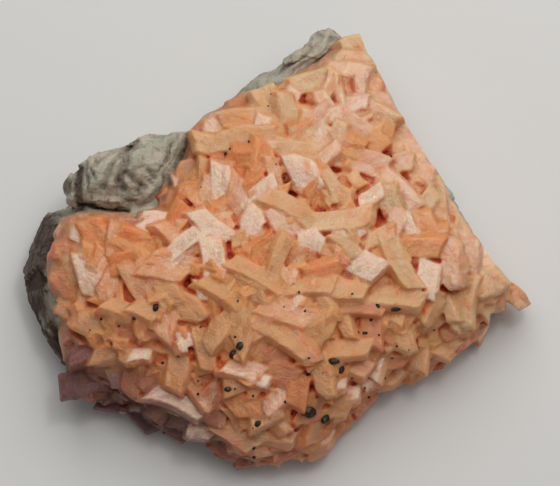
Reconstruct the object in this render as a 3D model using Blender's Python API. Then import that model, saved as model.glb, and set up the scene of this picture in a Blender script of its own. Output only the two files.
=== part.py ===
"""Saddle dolomite hand specimen: a crust of rhombic crystals on a broken slab of host rock.

The specimen lies on its flat broken back. Lengths are in millimetres until a mesh is made, +Z is
up, and the origin is on the resting face under the middle of the specimen.
"""

import math
import random
from collections import namedtuple

import bmesh
import bpy
from mathutils import Vector, noise
from mathutils.bvhtree import BVHTree

METRES = 0.001

# Main view: places on the specimen are read as a column and a row of this view
VIEW_ELEVATION = math.radians(80.0)
VIEW_DISTANCE = 700.0
VIEW_COLUMN = 280.0
VIEW_ROW = 243.0
VIEW_STEP = 0.25
AIM = Vector((0.0, 0.0, 30.0))
CENTRING = Vector((0.5, -2.03, 0.0))

VIEW_RIGHT = Vector((1.0, 0.0, 0.0))
VIEW_UP = Vector((0.0, math.sin(VIEW_ELEVATION), math.cos(VIEW_ELEVATION)))
TO_EYE = Vector((0.0, -math.cos(VIEW_ELEVATION), math.sin(VIEW_ELEVATION)))
EYE = AIM + VIEW_DISTANCE * TO_EYE

# Driving dimensions
CRUST_PEAK = 40.0
CRUST_FOOT = 4.0
CREVICE_DEPTH = 5.0
REST_CLEARANCE = 1.0
ROCK_MIDDLE = 26.0
ROCK_WAIST = 10.0
CRYSTAL_DEPTH = 7.5
PIECE_GAP = 0.35

# Welding distance in metres, and the share of triangles kept where faces are nearly flat
WELD = 0.000001
ROCK_KEPT = 0.75
CRUST_KEPT = 0.68

# Outlines in the main view, as places around the specimen
CORE_PLACE = (285.0, 250.0)
OUTLINE_HEIGHT = 14.0

ROCK_OUTLINE = [
    (36, 232), (40, 218), (46, 211), (66, 210), (84, 196), (112, 164), (140, 150), (165, 140),
    (190, 134), (208, 119), (226, 107), (243, 92), (258, 80), (280, 67), (298, 52), (320, 40),
    (344, 42), (358, 52), (371, 73), (387, 101), (405, 133), (425, 161), (441, 179), (455, 200),
    (469, 222), (478, 247), (488, 272), (480, 296), (466, 318), (446, 336), (424, 352),
    (398, 360), (378, 376), (350, 394), (326, 416), (298, 432), (262, 442), (232, 436),
    (206, 424), (180, 412), (158, 398), (132, 388), (108, 378), (84, 376), (62, 362), (50, 344),
    (36, 322), (27, 300), (25, 280), (28, 256),
]
ROCK_SHOULDER = [
    (64, 221), (80, 217), (112, 188), (140, 160), (170, 142), (192, 142), (212, 130), (231, 113),
    (246, 99), (260, 89), (280, 80), (298, 68), (318, 58), (330, 50), (343, 50), (353, 60),
    (363, 80), (379, 108), (396, 139), (415, 166), (433, 187), (447, 208), (458, 228),
    (465, 250), (473, 270), (468, 290), (456, 310), (438, 328), (418, 342), (392, 350),
    (372, 366), (346, 384), (322, 404), (296, 420), (264, 430), (236, 426), (210, 414),
    (184, 402), (162, 388), (136, 378), (112, 368), (90, 364), (72, 354), (60, 340), (57, 318),
    (50, 296), (46, 276), (47, 256), (54, 232),
]
CRUST_OUTLINE = [
    (56, 228), (64, 215), (90, 212), (125, 213), (148, 210), (158, 202), (165, 186), (172, 171),
    (182, 157), (187, 140), (190, 126), (204, 112), (224, 102), (246, 93), (262, 87), (282, 80),
    (300, 67), (318, 58), (330, 46), (346, 37), (362, 38), (370, 52), (384, 74), (396, 100),
    (415, 131), (432, 157), (446, 176), (456, 200), (471, 222), (486, 243), (504, 268), (520, 290),
    (508, 304), (486, 318), (470, 338), (448, 352), (424, 366), (398, 374), (376, 390), (354, 408),
    (334, 430), (304, 448), (262, 458), (228, 452), (204, 436), (176, 424), (150, 412), (122, 400),
    (96, 390), (70, 380), (58, 362), (54, 340), (56, 320), (50, 298), (45, 276), (46, 256),
]

# Heights around the specimen, as bearing in degrees from +X and height
SHOULDER_HEIGHTS = [
    (0, 14), (60, 18), (78, 23), (120, 24), (160, 24), (196, 22), (212, 15), (340, 13), (360, 14),
]
CRUST_RIM_HEIGHTS = [
    (0, 13), (20, 17), (60, 21), (80, 25), (150, 26), (185, 24), (202, 16), (216, 7), (338, 7),
    (360, 13),
]

# Rock slab: height and inset of its lower rings, then the brow under the shoulder and the dome
ROCK_RINGS = [(0.0, 5.0), (4.0, 1.2), (ROCK_WAIST, 0.0)]
BROW_DROP = 3.0
BROW_REACH = 2.2
SHOULDER_INSET = 0.6
DOME_SHARE = 0.72
DOME_RISE = 1.5

# Lump at the upper left and knob on the upper edge: outline places, then height and share per ring
LUMP_OUTLINE = [
    (196, 128), (190, 127), (176, 131), (163, 135), (150, 136), (137, 142), (118, 147), (100, 155),
    (84, 165), (70, 176), (62, 186), (66, 193), (65, 202), (76, 207), (92, 208), (112, 211),
    (134, 212), (152, 210), (168, 200), (178, 184), (186, 166), (194, 146),
]
LUMP_PLACE = (128.0, 176.0)
LUMP_RINGS = [(6.0, 0.80), (18.0, 0.96), (24.0, 1.0), (29.0, 0.84), (33.0, 0.48)]
LUMP_PEAK = 34.0
LUMP_FALL = 2.5
KNOB_OUTLINE = [
    (284, 62), (296, 53), (306, 46), (311, 36), (320, 29), (331, 27), (338, 33), (346, 37),
    (344, 48), (334, 58), (320, 66), (304, 72), (288, 74), (278, 70),
]
KNOB_PLACE = (318.0, 47.0)
KNOB_RINGS = [(8.0, 0.7), (17.0, 0.95), (22.0, 1.0), (25.5, 0.7)]
KNOB_PEAK = 27.5
KNOB_FALL = 1.0

# Crust layer: shares of its wall and floor rings, its cover over the rock, and its rounding
WALL_SHARES = (0.95, 0.985)
WALL_DROP = 2.0
FLOOR_SHARES = (0.96, 0.88, 0.74, 0.52)
FLOOR_INSET = 1.0
ROCK_COVER = 2.2
DOME_POWER = 2.6

# Unevenness: the farthest that points move, and the size of the bumps
ROCK_ROUGHNESS = 1.1
SHOULDER_ROUGHNESS = 0.6
LUMP_ROUGHNESS = 1.3
CRUST_ROUGHNESS = 0.8
BUMP_SIZE = 9.0
ROUGHNESS_SEED = 1

# Each main crystal: its place in the main view, how far it stands over the general surface, the
# heading of its long side in degrees, its length and width, how far its face leans to the left of
# the heading, the rise of its head end, its sideways bow, and the slant of its ends
Crystal = namedtuple("Crystal", "column row lift heading length width lean pitch bow skew")
MAIN_CRYSTALS = [
    # Top tip and upper edge
    (357, 48, 0.2, -60, 7.5, 5.5, 18, 0, 0.0, 15),
    (343, 47, -1.5, 28, 6.5, 3.5, -20, 0, 0.0, -10),
    (352, 60, -0.2, -12, 8.5, 4.0, 14, 0, 0.3, 15),
    (350, 70, 1.4, -2, 10.0, 3.0, 28, 0, 0.7, 20),
    (367, 72, 0.6, 72, 6.5, 3.2, -15, 8, 0.0, 10),
    (360, 90, 1.0, 92, 8.5, 2.4, -24, 0, 0.2, 15),
    (339, 95, 0.6, 102, 4.8, 2.0, 18, 0, 0.0, 20),
    (374, 88, -0.6, 80, 6.5, 3.6, -28, 0, 0.0, 15),
    (385, 92, 0.3, -62, 8.5, 3.6, 10, 0, 0.0, 10),
    (356, 103, 0.9, 12, 6.5, 3.0, 22, 0, 0.0, 20),
    (375, 116, -0.4, -30, 9.0, 6.0, -14, 6, 0.0, 15),
    (356, 121, 1.2, -38, 11.5, 2.4, 22, 0, 0.4, 22),
    (326, 101, 0.9, -55, 6.0, 2.8, 16, 0, 0.0, 20),
    (314, 81, -1.0, 16, 10.5, 4.6, 12, 0, 0.0, -15),
    (289, 113, 0.8, -80, 10.0, 3.8, 22, 0, 0.4, 15),
    (273, 106, -0.2, -60, 9.5, 5.6, -8, 0, 0.0, 15),
    (314, 117, 1.2, 35, 8.5, 3.6, 18, 0, -0.4, 20),
    (338, 137, 0.6, 82, 8.0, 3.2, 16, 0, 0.2, 15),
    (322, 133, 0.4, 60, 4.6, 2.4, -20, 0, 0.0, 20),
    (302, 132, -0.6, 20, 7.0, 4.0, -22, 0, 0.0, 15),
    # Upper left, under the rock band
    (240, 104, -0.8, 16, 9.5, 3.4, -26, 0, 0.3, 15),
    (240, 118, 0.6, 10, 9.5, 4.0, 18, 0, 0.2, -15),
    (243, 138, 1.2, 7, 14.5, 4.6, 14, 0, 0.4, 18),
    (215, 126, 0.0, 62, 6.0, 4.2, 14, 0, 0.0, 15),
    (198, 134, -1.2, 50, 6.0, 4.0, -10, 0, 0.0, 15),
    (213, 146, 1.0, -14, 9.0, 4.4, 16, 0, -0.3, -20),
    (187, 169, 0.8, 12, 8.2, 5.2, 12, 0, 0.0, 20),
    (206, 169, 0.6, 86, 4.6, 3.4, -8, 0, 0.0, 10),
    (222, 186, 1.4, 96, 10.8, 4.5, 10, 0, 0.2, 16),
    (237, 194, 0.8, 76, 8.2, 3.8, -12, 0, 0.0, 24),
    (242, 163, -1.2, 4, 8.0, 6.0, -26, 0, 0.0, 15),
    (255, 188, 0.2, 30, 5.6, 4.0, -18, 0, 0.0, 15),
    (258, 193, 1.2, 42, 12.5, 3.2, 20, 0, 0.0, 20),
    (265, 164, -0.6, 78, 9.5, 5.0, -24, 0, 0.0, 15),
    (274, 170, 0.8, -80, 6.5, 3.0, 14, 0, 0.0, 15),
    (291, 146, 0.6, -10, 7.6, 2.8, 20, 0, 0.0, 15),
    (207, 195, 0.6, 80, 9.0, 3.8, 12, 0, 0.0, 15),
    (177, 185, 0.4, -74, 6.0, 2.2, 24, 0, 0.0, 15),
    (188, 202, -0.6, 10, 8.5, 7.0, -16, 0, 0.0, 20),
    (167, 196, -2.0, 60, 7.0, 4.5, -8, 0, 0.0, 15),
    # Middle left
    (212, 226, 1.2, -42, 10.5, 4.2, 8, 0, 0.0, 25),
    (252, 223, 1.4, 58, 7.2, 4.8, 6, 0, 0.0, 18),
    (239, 237, 0.6, 22, 4.8, 3.6, 16, 0, 0.0, 15),
    (226, 214, -1.6, 40, 7.5, 5.0, -22, 0, 0.0, 15),
    (152, 221, 0.8, -6, 7.8, 6.0, 14, 0, 0.0, 15),
    (171, 234, 0.9, -46, 8.5, 3.0, 20, 0, 0.0, 20),
    (187, 240, 1.4, 38, 11.5, 3.6, 16, 0, 0.3, 20),
    (183, 222, -1.6, 70, 8.0, 5.0, -24, 0, 0.0, 15),
    (168, 266, 1.2, -10, 11.0, 6.4, 10, 0, 0.0, 24),
    (132, 242, -0.8, -20, 9.5, 5.5, -18, 0, 0.0, 20),
    (112, 241, 0.6, 82, 9.0, 2.6, 18, 0, 0.2, 15),
    (95, 236, -0.8, -60, 8.5, 5.2, -22, 0, 0.0, 15),
    (84, 221, -0.6, 10, 5.0, 3.4, 10, 0, 0.0, 15),
    (63, 252, -1.4, -30, 5.6, 4.6, -18, 0, 0.0, 15),
    (55, 258, 0.2, -60, 5.0, 1.8, 20, 0, 0.0, 15),
    (88, 275, 1.4, 106, 10.0, 5.4, 6, 0, 0.0, 18),
    (108, 285, 0.8, 62, 7.4, 4.0, -8, 0, 0.0, 18),
    (141, 281, 1.2, 118, 9.0, 7.2, 12, 0, 0.0, 16),
    (102, 262, -0.8, 70, 6.0, 4.5, -24, 0, 0.0, 15),
    (125, 262, -0.2, 25, 7.0, 4.2, -14, 0, 0.0, 15),
    # Lower left
    (121, 307, 1.0, -22, 8.0, 3.4, 22, 0, 0.3, 24),
    (146, 309, 1.0, -24, 7.0, 4.0, 18, 0, 0.3, 20),
    (68, 313, 0.4, -32, 7.2, 4.0, -12, 0, 0.3, 18),
    (56, 288, 0.2, -52, 4.6, 2.0, 22, 0, 0.0, 15),
    (64, 286, -1.0, -50, 8.0, 4.0, -20, 0, 0.0, 15),
    (81, 352, 0.6, 24, 6.2, 4.2, 8, 0, 0.0, 20),
    (95, 325, -0.2, -28, 9.0, 5.8, -16, 0, 0.0, 18),
    (123, 350, 0.6, 86, 6.8, 2.8, 22, 0, 0.0, 15),
    (108, 354, 0.2, 6, 7.2, 4.6, -18, 0, 0.0, 24),
    (140, 354, 1.2, 4, 6.8, 2.8, 28, 0, 0.2, 18),
    (147, 333, -0.2, 20, 5.0, 4.0, -20, 0, 0.0, 15),
    (125, 327, -2.0, -30, 8.0, 5.0, -24, 0, 0.0, 15),
    (167, 322, 0.8, 76, 8.4, 4.2, 10, 0, 0.0, 20),
    (168, 293, 0.8, -62, 7.4, 5.0, -10, 0, 0.0, 20),
    (190, 307, 0.6, -60, 8.4, 5.0, -16, 0, 0.0, 22),
    (202, 290, 0.8, -70, 5.0, 2.6, 12, 0, 0.0, 18),
    (213, 259, 1.4, 96, 9.6, 5.2, 8, 0, 0.0, 10),
    # Middle
    (258, 274, 1.6, -29, 15.0, 3.7, 26, 0, 0.5, 20),
    (224, 291, 1.4, -32, 12.0, 4.0, 24, 0, 0.4, 20),
    (280, 258, 1.8, 67, 10.8, 3.4, -20, 0, 0.3, 15),
    (256, 257, -0.6, 32, 10.0, 6.6, -14, 0, 0.0, 18),
    (252, 292, 0.8, -68, 5.8, 4.2, -14, 0, 0.0, 20),
    (287, 311, 1.0, -20, 12.6, 5.4, 14, 0, 0.4, 22),
    (219, 330, 1.4, 52, 11.5, 4.2, 14, 0, 0.3, 15),
    (204, 349, 1.2, -78, 11.0, 3.8, -10, 0, 0.2, 15),
    (186, 340, 0.8, -62, 5.0, 3.0, 14, 0, 0.0, 18),
    (243, 325, 1.2, 64, 10.0, 7.4, 10, 0, 0.0, 30),
    (261, 326, 1.2, 30, 5.0, 4.4, 6, 0, 0.0, 24),
    (283, 336, 1.6, -33, 13.0, 3.5, 20, 0, 0.3, 20),
    (298, 344, 1.4, -54, 11.0, 3.4, -16, 0, 0.3, 20),
    (320, 330, 1.6, 34, 10.5, 5.0, -22, 0, -1.6, 15),
    (323, 305, 1.2, -64, 7.0, 3.0, -22, 0, 0.4, 15),
    (311, 286, 1.4, 3, 12.0, 3.3, 26, 0, 0.3, 20),
    (347, 290, 1.4, -4, 9.0, 3.6, 22, 0, 0.0, 15),
    (320, 274, 0.4, 16, 9.6, 3.6, -26, 0, 0.4, 15),
    (303, 262, -1.0, 26, 7.6, 5.0, -18, 0, 0.0, 15),
    (284, 222, 1.0, -62, 8.6, 5.4, 8, 0, 0.0, 20),
    (303, 172, 1.6, 112, 9.0, 6.4, 6, 0, 0.0, 22),
    (333, 186, 1.4, -66, 9.4, 2.7, 24, 0, 0.3, 20),
    (322, 192, -0.8, 62, 8.0, 5.5, -28, 0, 0.0, 20),
    (344, 198, 0.4, 80, 5.0, 2.6, 14, 0, 0.0, 15),
    (291, 207, 1.8, -30, 14.0, 4.0, 20, 0, 0.6, 20),
    (341, 217, 1.8, 9, 14.4, 4.4, 22, 0, -0.8, 20),
    (308, 238, 1.3, 22, 5.2, 3.4, 8, 0, 0.0, 15),
    (318, 242, 1.3, 70, 5.4, 2.9, -6, 0, 0.0, 15),
    (346, 243, 1.4, -43, 9.6, 3.2, 22, 0, 0.3, 20),
    (368, 266, 1.6, 45, 6.4, 6.2, 4, 0, 0.0, -14),
    (350, 231, 1.2, -32, 5.8, 4.0, 10, 0, 0.0, 18),
    (325, 156, 0.8, 40, 9.5, 3.0, 18, 0, -0.3, 18),
    (349, 148, -0.6, -20, 6.0, 4.0, -26, 0, 0.0, 15),
    (364, 161, 0.8, -14, 10.6, 5.4, 16, 0, 0.4, 20),
    (371, 197, 1.2, 36, 7.0, 3.4, 10, 0, 0.0, 18),
    (398, 190, 1.4, -45, 12.5, 4.4, 12, 0, 0.0, 15),
    (387, 202, 0.6, -74, 8.4, 4.0, -14, 0, 0.0, 15),
    (297, 255, 0.2, 60, 6.0, 3.6, 14, 0, 0.0, 15),
    (333, 257, 0.0, -50, 8.0, 4.5, -24, 0, 0.0, 15),
    # Right of the middle
    (401, 262, 1.8, -62, 14.5, 4.3, 20, 0, -0.8, 20),
    (397, 296, 1.8, -6, 13.0, 4.0, 24, 0, -0.7, 20),
    (391, 272, -2.4, 80, 8.0, 6.0, 20, 0, 0.0, 15),
    (379, 236, 0.8, 24, 8.0, 3.4, 18, 0, 0.3, 15),
    (396, 221, 0.8, 60, 6.4, 4.2, 12, 0, 0.0, 15),
    (411, 227, 1.3, -66, 8.6, 2.6, 16, 0, 0.0, 18),
    (426, 229, 0.6, -72, 8.8, 4.6, -14, 0, 0.0, 18),
    (420, 248, 1.2, -3, 9.8, 4.4, -12, 0, 0.0, 15),
    (427, 279, 1.6, 82, 8.6, 4.6, 4, 0, 0.0, 14),
    (449, 265, 1.0, 88, 12.0, 3.9, 14, 0, 0.3, 15),
    (428, 304, 1.2, 62, 8.6, 2.8, 20, 0, -0.3, 15),
    (446, 306, 1.2, -67, 9.0, 2.9, -18, 0, 0.3, 15),
    (465, 297, 1.6, 81, 14.5, 4.4, 14, 0, 0.7, 15),
    (470, 255, 0.8, 84, 9.6, 4.0, 10, 0, 0.0, 15),
    (485, 261, 1.0, -74, 9.6, 4.2, 12, 0, 0.0, 15),
    (478, 244, -0.2, -40, 6.0, 4.0, 12, 0, 0.0, 15),
    (494, 283, 0.8, -32, 9.6, 6.8, -10, 0, 0.0, 20),
    (516, 293, 2.4, -50, 9.6, 5.0, 12, 0, 0.0, 12),
    (498, 303, 0.4, 6, 6.0, 3.4, -18, 0, 0.0, 15),
    (486, 306, 1.0, 70, 5.0, 3.4, 8, 0, 0.0, 15),
    (482, 324, 1.6, 58, 7.0, 3.4, 10, 0, 0.0, 15),
    (463, 338, 1.0, 36, 7.6, 4.8, -12, 0, 0.0, 18),
    (440, 345, 1.0, -20, 7.4, 4.8, 8, 0, 0.0, 20),
    (446, 330, -1.0, -40, 5.6, 4.0, -22, 0, 0.0, 15),
    (436, 318, -2.0, 30, 6.0, 4.5, -18, 0, 0.0, 15),
    # Right edge
    (403, 134, 0.6, -60, 11.0, 6.0, 14, 0, 0.0, 15),
    (388, 115, 0.8, -64, 9.6, 4.0, 16, 0, 0.0, 15),
    (416, 157, 0.4, -56, 10.0, 5.6, -8, 0, 0.0, 15),
    (403, 163, 1.0, 8, 7.0, 3.6, 18, 0, 0.0, 15),
    (425, 179, 0.4, 78, 7.0, 3.4, 14, 0, 0.0, 15),
    (437, 190, 0.2, -70, 7.0, 3.4, -10, 0, 0.0, 15),
    (426, 203, 0.8, 58, 6.6, 3.6, 16, 0, 0.0, 15),
    (441, 214, 0.6, -76, 9.6, 3.6, 12, 0, 0.0, 15),
    (456, 219, 0.2, -66, 8.6, 4.0, -12, 0, 0.0, 15),
    (459, 237, 0.6, 70, 6.6, 4.0, 10, 0, 0.0, 15),
    (436, 240, 0.2, 10, 6.0, 4.0, -18, 0, 0.0, 15),
    (386, 134, 0.6, 72, 7.6, 3.4, -16, 0, 0.0, 15),
    (371, 140, 0.4, -30, 8.0, 4.0, 12, 0, 0.0, 15),
    # Lower middle
    (341, 348, 1.8, 4, 14.0, 4.0, 22, 0, -0.5, 20),
    (321, 372, 1.6, -80, 13.0, 4.2, -14, 0, 0.4, 15),
    (371, 326, 0.8, 90, 9.4, 4.8, 10, 0, 0.0, 15),
    (344, 325, 0.8, -72, 6.6, 2.8, -22, 0, 0.0, 15),
    (360, 306, 0.8, -2, 9.4, 3.4, 18, 0, 0.0, 20),
    (404, 332, 0.8, -76, 10.6, 4.0, 12, 0, 0.0, 15),
    (409, 312, 0.4, 60, 7.0, 4.2, -20, 0, 0.0, 15),
    (388, 325, -1.8, 70, 8.0, 4.2, -24, 0, 0.0, 15),
    (388, 343, 0.8, -50, 4.8, 2.8, 14, 0, 0.0, 15),
    (399, 357, 0.6, 12, 7.0, 5.0, -8, 0, 0.0, 18),
    (419, 355, 0.8, 84, 6.8, 4.0, 10, 0, 0.0, 15),
    (437, 362, 0.6, 12, 6.4, 4.2, -14, 0, 0.0, 18),
    (376, 366, 1.4, 76, 8.0, 2.4, 16, 0, 0.0, 15),
    (358, 365, 0.6, -20, 6.4, 4.2, 12, 0, 0.0, 15),
    (390, 374, 0.8, 4, 6.8, 5.0, 8, 0, 0.0, 15),
    (349, 393, 1.4, 12, 5.2, 3.2, 14, 0, 0.0, 15),
    (337, 407, 1.0, 10, 7.4, 4.6, -8, 0, 0.0, 18),
    (338, 374, -0.8, 10, 5.0, 3.4, -18, 0, 0.0, 15),
    (363, 400, 0.8, 50, 7.2, 4.2, -12, 0, 0.0, 15),
    (338, 424, 0.6, 48, 6.0, 3.8, -10, 0, 0.0, 15),
    (321, 436, 1.0, 22, 7.4, 4.2, 12, 0, 0.0, 18),
    (302, 437, 0.8, -60, 4.8, 3.2, -10, 0, 0.0, 15),
    (280, 435, 1.2, -6, 8.2, 3.0, 22, 0, 0.3, 18),
    (287, 449, 0.8, 20, 6.8, 4.2, -10, 0, 0.0, 18),
    (257, 445, 1.2, -58, 7.0, 3.4, 8, 0, 0.0, 20),
    (241, 433, 1.0, -32, 10.4, 6.8, -6, 0, 0.0, 20),
    (240, 406, 0.6, -52, 7.2, 5.0, -18, 0, 0.0, 26),
    (219, 411, -0.6, 82, 8.0, 4.2, -14, 0, 0.0, 15),
    (202, 432, 1.2, -10, 7.2, 4.8, 8, 0, 0.0, 16),
    (226, 450, 0.6, -30, 7.0, 4.0, -14, 0, 0.0, 18),
    (250, 458, 0.6, 4, 6.4, 4.2, -10, 0, 0.0, 20),
    (215, 393, 0.2, 46, 7.4, 5.0, -14, 0, 0.0, 18),
    (196, 388, 1.2, -54, 13.0, 3.0, 18, 0, 0.3, 18),
    (180, 400, 1.4, -27, 14.5, 4.6, 10, 0, 0.8, 24),
    (176, 366, 1.4, 82, 11.0, 4.2, 12, 0, 0.0, 15),
    (155, 380, 0.0, 60, 8.4, 5.0, -18, 0, 0.0, 15),
    (115, 375, 0.8, -68, 7.4, 3.6, -8, 0, 0.0, 15),
    (133, 377, 0.8, 76, 9.0, 4.8, 10, 0, 0.0, 20),
    (244, 369, 1.2, -16, 8.8, 4.0, 16, 0, 0.0, 22),
    (261, 380, 1.0, -12, 4.6, 2.8, 12, 0, 0.0, 15),
    (240, 384, 0.6, 20, 8.0, 4.2, -14, 0, 0.0, 15),
    (275, 400, 1.2, 42, 7.4, 4.0, 12, 0, 0.0, 18),
    (280, 375, -1.4, -22, 7.6, 5.4, -20, 0, 0.0, 15),
    (280, 356, -1.8, 30, 8.0, 5.4, -22, 0, 0.0, 15),
    (299, 390, 0.8, 80, 8.4, 4.4, -10, 0, 0.0, 15),
    (267, 412, 0.6, 26, 8.6, 5.0, 10, 0, 0.0, 18),
    (281, 421, 1.2, -50, 6.8, 2.2, 20, 0, 0.0, 18),
    (306, 413, -1.0, 12, 7.6, 5.0, -14, 0, 0.0, 15),
    (264, 350, -1.6, 60, 7.0, 5.0, -18, 0, 0.0, 15),
    (229, 350, -0.8, -70, 7.0, 4.4, -20, 0, 0.0, 15),
    # Low crystals on the lower left flank
    (82, 384, 3.0, 8, 12.5, 6.2, 6, 0, 0.0, 22),
    (110, 401, 2.0, -10, 5.4, 4.0, 8, 0, 0.0, 15),
    (147, 415, 2.0, -46, 8.4, 6.2, 8, 0, 0.0, 20),
    (176, 425, 1.4, -30, 7.4, 4.8, -8, 0, 0.0, 15),
    (160, 405, 0.4, 70, 8.0, 5.0, -12, 0, 0.0, 15),
    (99, 365, -1.0, 10, 6.5, 4.2, -16, 0, 0.0, 15),
]

# Crystal form: fall of a long face towards its ends, narrowing of the ends, and the foot
CROWN = 0.55
END_TAPER = 0.22
FOOT_SHARE = 0.86
FOOT_SLANT = 1.5
LONG_CRYSTAL = 11.0
STRAIGHT_BOW = 0.3

# Crystals on the free flanks, in tiers around the specimen
FLANK_FROM = 204.0
FLANK_TO = 352.0
FLANK_TIERS = [(10.5, 15), (17.0, 14)]
FLANK_JITTER = 1.5
FLANK_STAND = 2.4
FLANK_SCATTER = 0.5
FLANK_LENGTHS = (6.5, 9.5)
FLANK_WIDTHS = (0.4, 0.7)
FLANK_SLANT = (0.5, -0.5)
FLANK_CRYSTAL = Crystal(0, 0, 0, 0, 8.0, 4.0, 0, 0, 0.0, 18)
FLANK_SEED = 7
OUTSIDE = 120.0

# Sulphide grains: place in the main view, heading, length, width and height
GRAINS = [
    (308, 411, -12, 3.9, 2.9, 2.2),
    (324, 418, 10, 3.0, 2.1, 1.8),
    (333, 360, 38, 3.2, 1.8, 1.5),
    (341, 369, 80, 2.2, 1.6, 1.4),
    (396, 308, 8, 2.6, 1.5, 1.3),
    (240, 346, 60, 2.2, 1.8, 1.6),
    (234, 354, 48, 2.5, 1.9, 1.6),
    (156, 308, 70, 2.0, 1.6, 1.4),
    (228, 389, 4, 2.0, 1.4, 1.2),
    (258, 424, 50, 1.9, 1.6, 1.3),
]
GRAIN_SUNK = 0.15
GRAIN_UNEVENNESS = 0.22
GRAIN_BUMPS = 1.7

SPACE_WIDTH = 300.0
SPACE_HEIGHT = 30.0
SEARCH_STEPS = 12


def in_view(column, row, height):
    """Point at this height that shows at this place in the main view."""
    right = (column - VIEW_COLUMN) * VIEW_STEP
    up = (VIEW_ROW - row) * VIEW_STEP
    ray = AIM + right * VIEW_RIGHT + up * VIEW_UP - EYE
    return EYE + ray * ((height - EYE.z) / ray.z) + CENTRING


CORE = in_view(CORE_PLACE[0], CORE_PLACE[1], OUTLINE_HEIGHT)


class Outline:
    """Closed outline around an upright core line, read as a reach at any bearing."""

    def __init__(self, places, heights, core):
        self.corners = []
        for column, row in places:
            first = in_view(column, row, OUTLINE_HEIGHT) - core
            height = heights(math.atan2(first.y, first.x))
            self.corners.append((in_view(column, row, height) - core).to_2d())

    def bearings(self):
        """Bearings of the corners, in turning order."""
        return sorted(math.atan2(corner.y, corner.x) % (2.0 * math.pi) for corner in self.corners)

    def reach(self, bearing):
        """Reach of the outline along one bearing."""
        ahead = Vector((math.cos(bearing), math.sin(bearing)))
        reach = 0.0
        for start, end in zip(self.corners, self.corners[1:] + self.corners[:1]):
            side = end - start
            spread = ahead.x * side.y - ahead.y * side.x
            if abs(spread) < 1e-9:
                continue
            share = (ahead.y * start.x - ahead.x * start.y) / spread
            if -1e-6 <= share <= 1.0 + 1e-6:
                reach = max(reach, ahead.dot(start + share * side))
        return reach


def height_at(heights, bearing):
    """Height from a list of bearings and heights."""
    degrees = math.degrees(bearing) % 360.0
    for (low, low_height), (high, high_height) in zip(heights, heights[1:]):
        if low <= degrees <= high:
            share = (degrees - low) / (high - low)
            return low_height + (high_height - low_height) * share
    return heights[-1][1]


def shoulder_height(bearing):
    """Height of the rock's upper edge at a bearing."""
    return height_at(SHOULDER_HEIGHTS, bearing)


def rim_height(bearing):
    """Height of the crystal tips along the edge of the crust."""
    return height_at(CRUST_RIM_HEIGHTS, bearing)


ROCK_EDGE = Outline(ROCK_OUTLINE, lambda bearing: ROCK_WAIST, CORE)
SHOULDER_EDGE = Outline(ROCK_SHOULDER, shoulder_height, CORE)
CRUST_EDGE = Outline(CRUST_OUTLINE, lambda bearing: max(rim_height(bearing), OUTLINE_HEIGHT), CORE)


def crust_dome(bearing, share):
    """Height of the crystal tips at a share of the way out along a bearing."""
    rim = rim_height(bearing)
    return rim + (CRUST_PEAK - rim) * math.sqrt(1.0 - share ** DOME_POWER)


def crust_top(point):
    """General height of the crystal tips over one spot."""
    offset = point - CORE
    bearing = math.atan2(offset.y, offset.x)
    share = min(offset.to_2d().length / CRUST_EDGE.reach(bearing), 1.0)
    return crust_dome(bearing, share)


def on_crust(column, row):
    """Point of the general crust surface that shows at this place in the main view."""
    height = CRUST_PEAK
    for _ in range(SEARCH_STEPS):
        point = in_view(column, row, height)
        height = 0.5 * (height + crust_top(point))
    return in_view(column, row, height)


def roughened(point, amount):
    """Point moved a little, always the same way at the same spot."""
    return point + amount * noise.noise_vector((point - CENTRING) / BUMP_SIZE)


def lofted(rings, peak):
    """Closed solid through rings of points from the bottom up, with a flat base and a peak."""
    shape = bmesh.new()
    loops = [[shape.verts.new(point) for point in ring] for ring in rings]
    top = shape.verts.new(peak)
    count = len(loops[0])
    shape.faces.new(list(reversed(loops[0])))
    for lower, upper in zip(loops, loops[1:]):
        for index in range(count):
            after = (index + 1) % count
            shape.faces.new((lower[index], lower[after], upper[after], upper[index]))
    for index in range(count):
        shape.faces.new((loops[-1][index], loops[-1][(index + 1) % count], top))
    bmesh.ops.triangulate(shape, faces=shape.faces[:])
    return shape


def ring(edge, core, bearings, share, heights, inset=0.0, rough=0.0):
    """Ring of points at a share of an outline's reach, less an inset."""
    points = []
    for bearing in bearings:
        reach = edge.reach(bearing) * share - inset
        height = heights(bearing)
        point = Vector((core.x + reach * math.cos(bearing), core.y + reach * math.sin(bearing), height))
        moved = roughened(point, rough)
        if height == 0.0:
            moved.z = 0.0
        points.append(moved)
    return points


def rock_slab():
    """Broken slab with a flat back, a waist and a domed top."""
    def lower(height):
        return lambda bearing: height

    def brow(bearing):
        return shoulder_height(bearing) - BROW_DROP

    def dome(bearing):
        return 0.5 * (shoulder_height(bearing) + ROCK_MIDDLE) + DOME_RISE

    turns = ROCK_EDGE.bearings()
    rings = []
    for height, inset in ROCK_RINGS:
        rings.append(ring(ROCK_EDGE, CORE, turns, 1.0, lower(height), inset, ROCK_ROUGHNESS))
    rings.append(ring(SHOULDER_EDGE, CORE, turns, 1.0, brow, -BROW_REACH, ROCK_ROUGHNESS))
    rings.append(ring(SHOULDER_EDGE, CORE, turns, 1.0, shoulder_height, SHOULDER_INSET, SHOULDER_ROUGHNESS))
    rings.append(ring(SHOULDER_EDGE, CORE, turns, DOME_SHARE, dome))
    return lofted(rings, Vector((CORE.x, CORE.y, ROCK_MIDDLE)))


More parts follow.
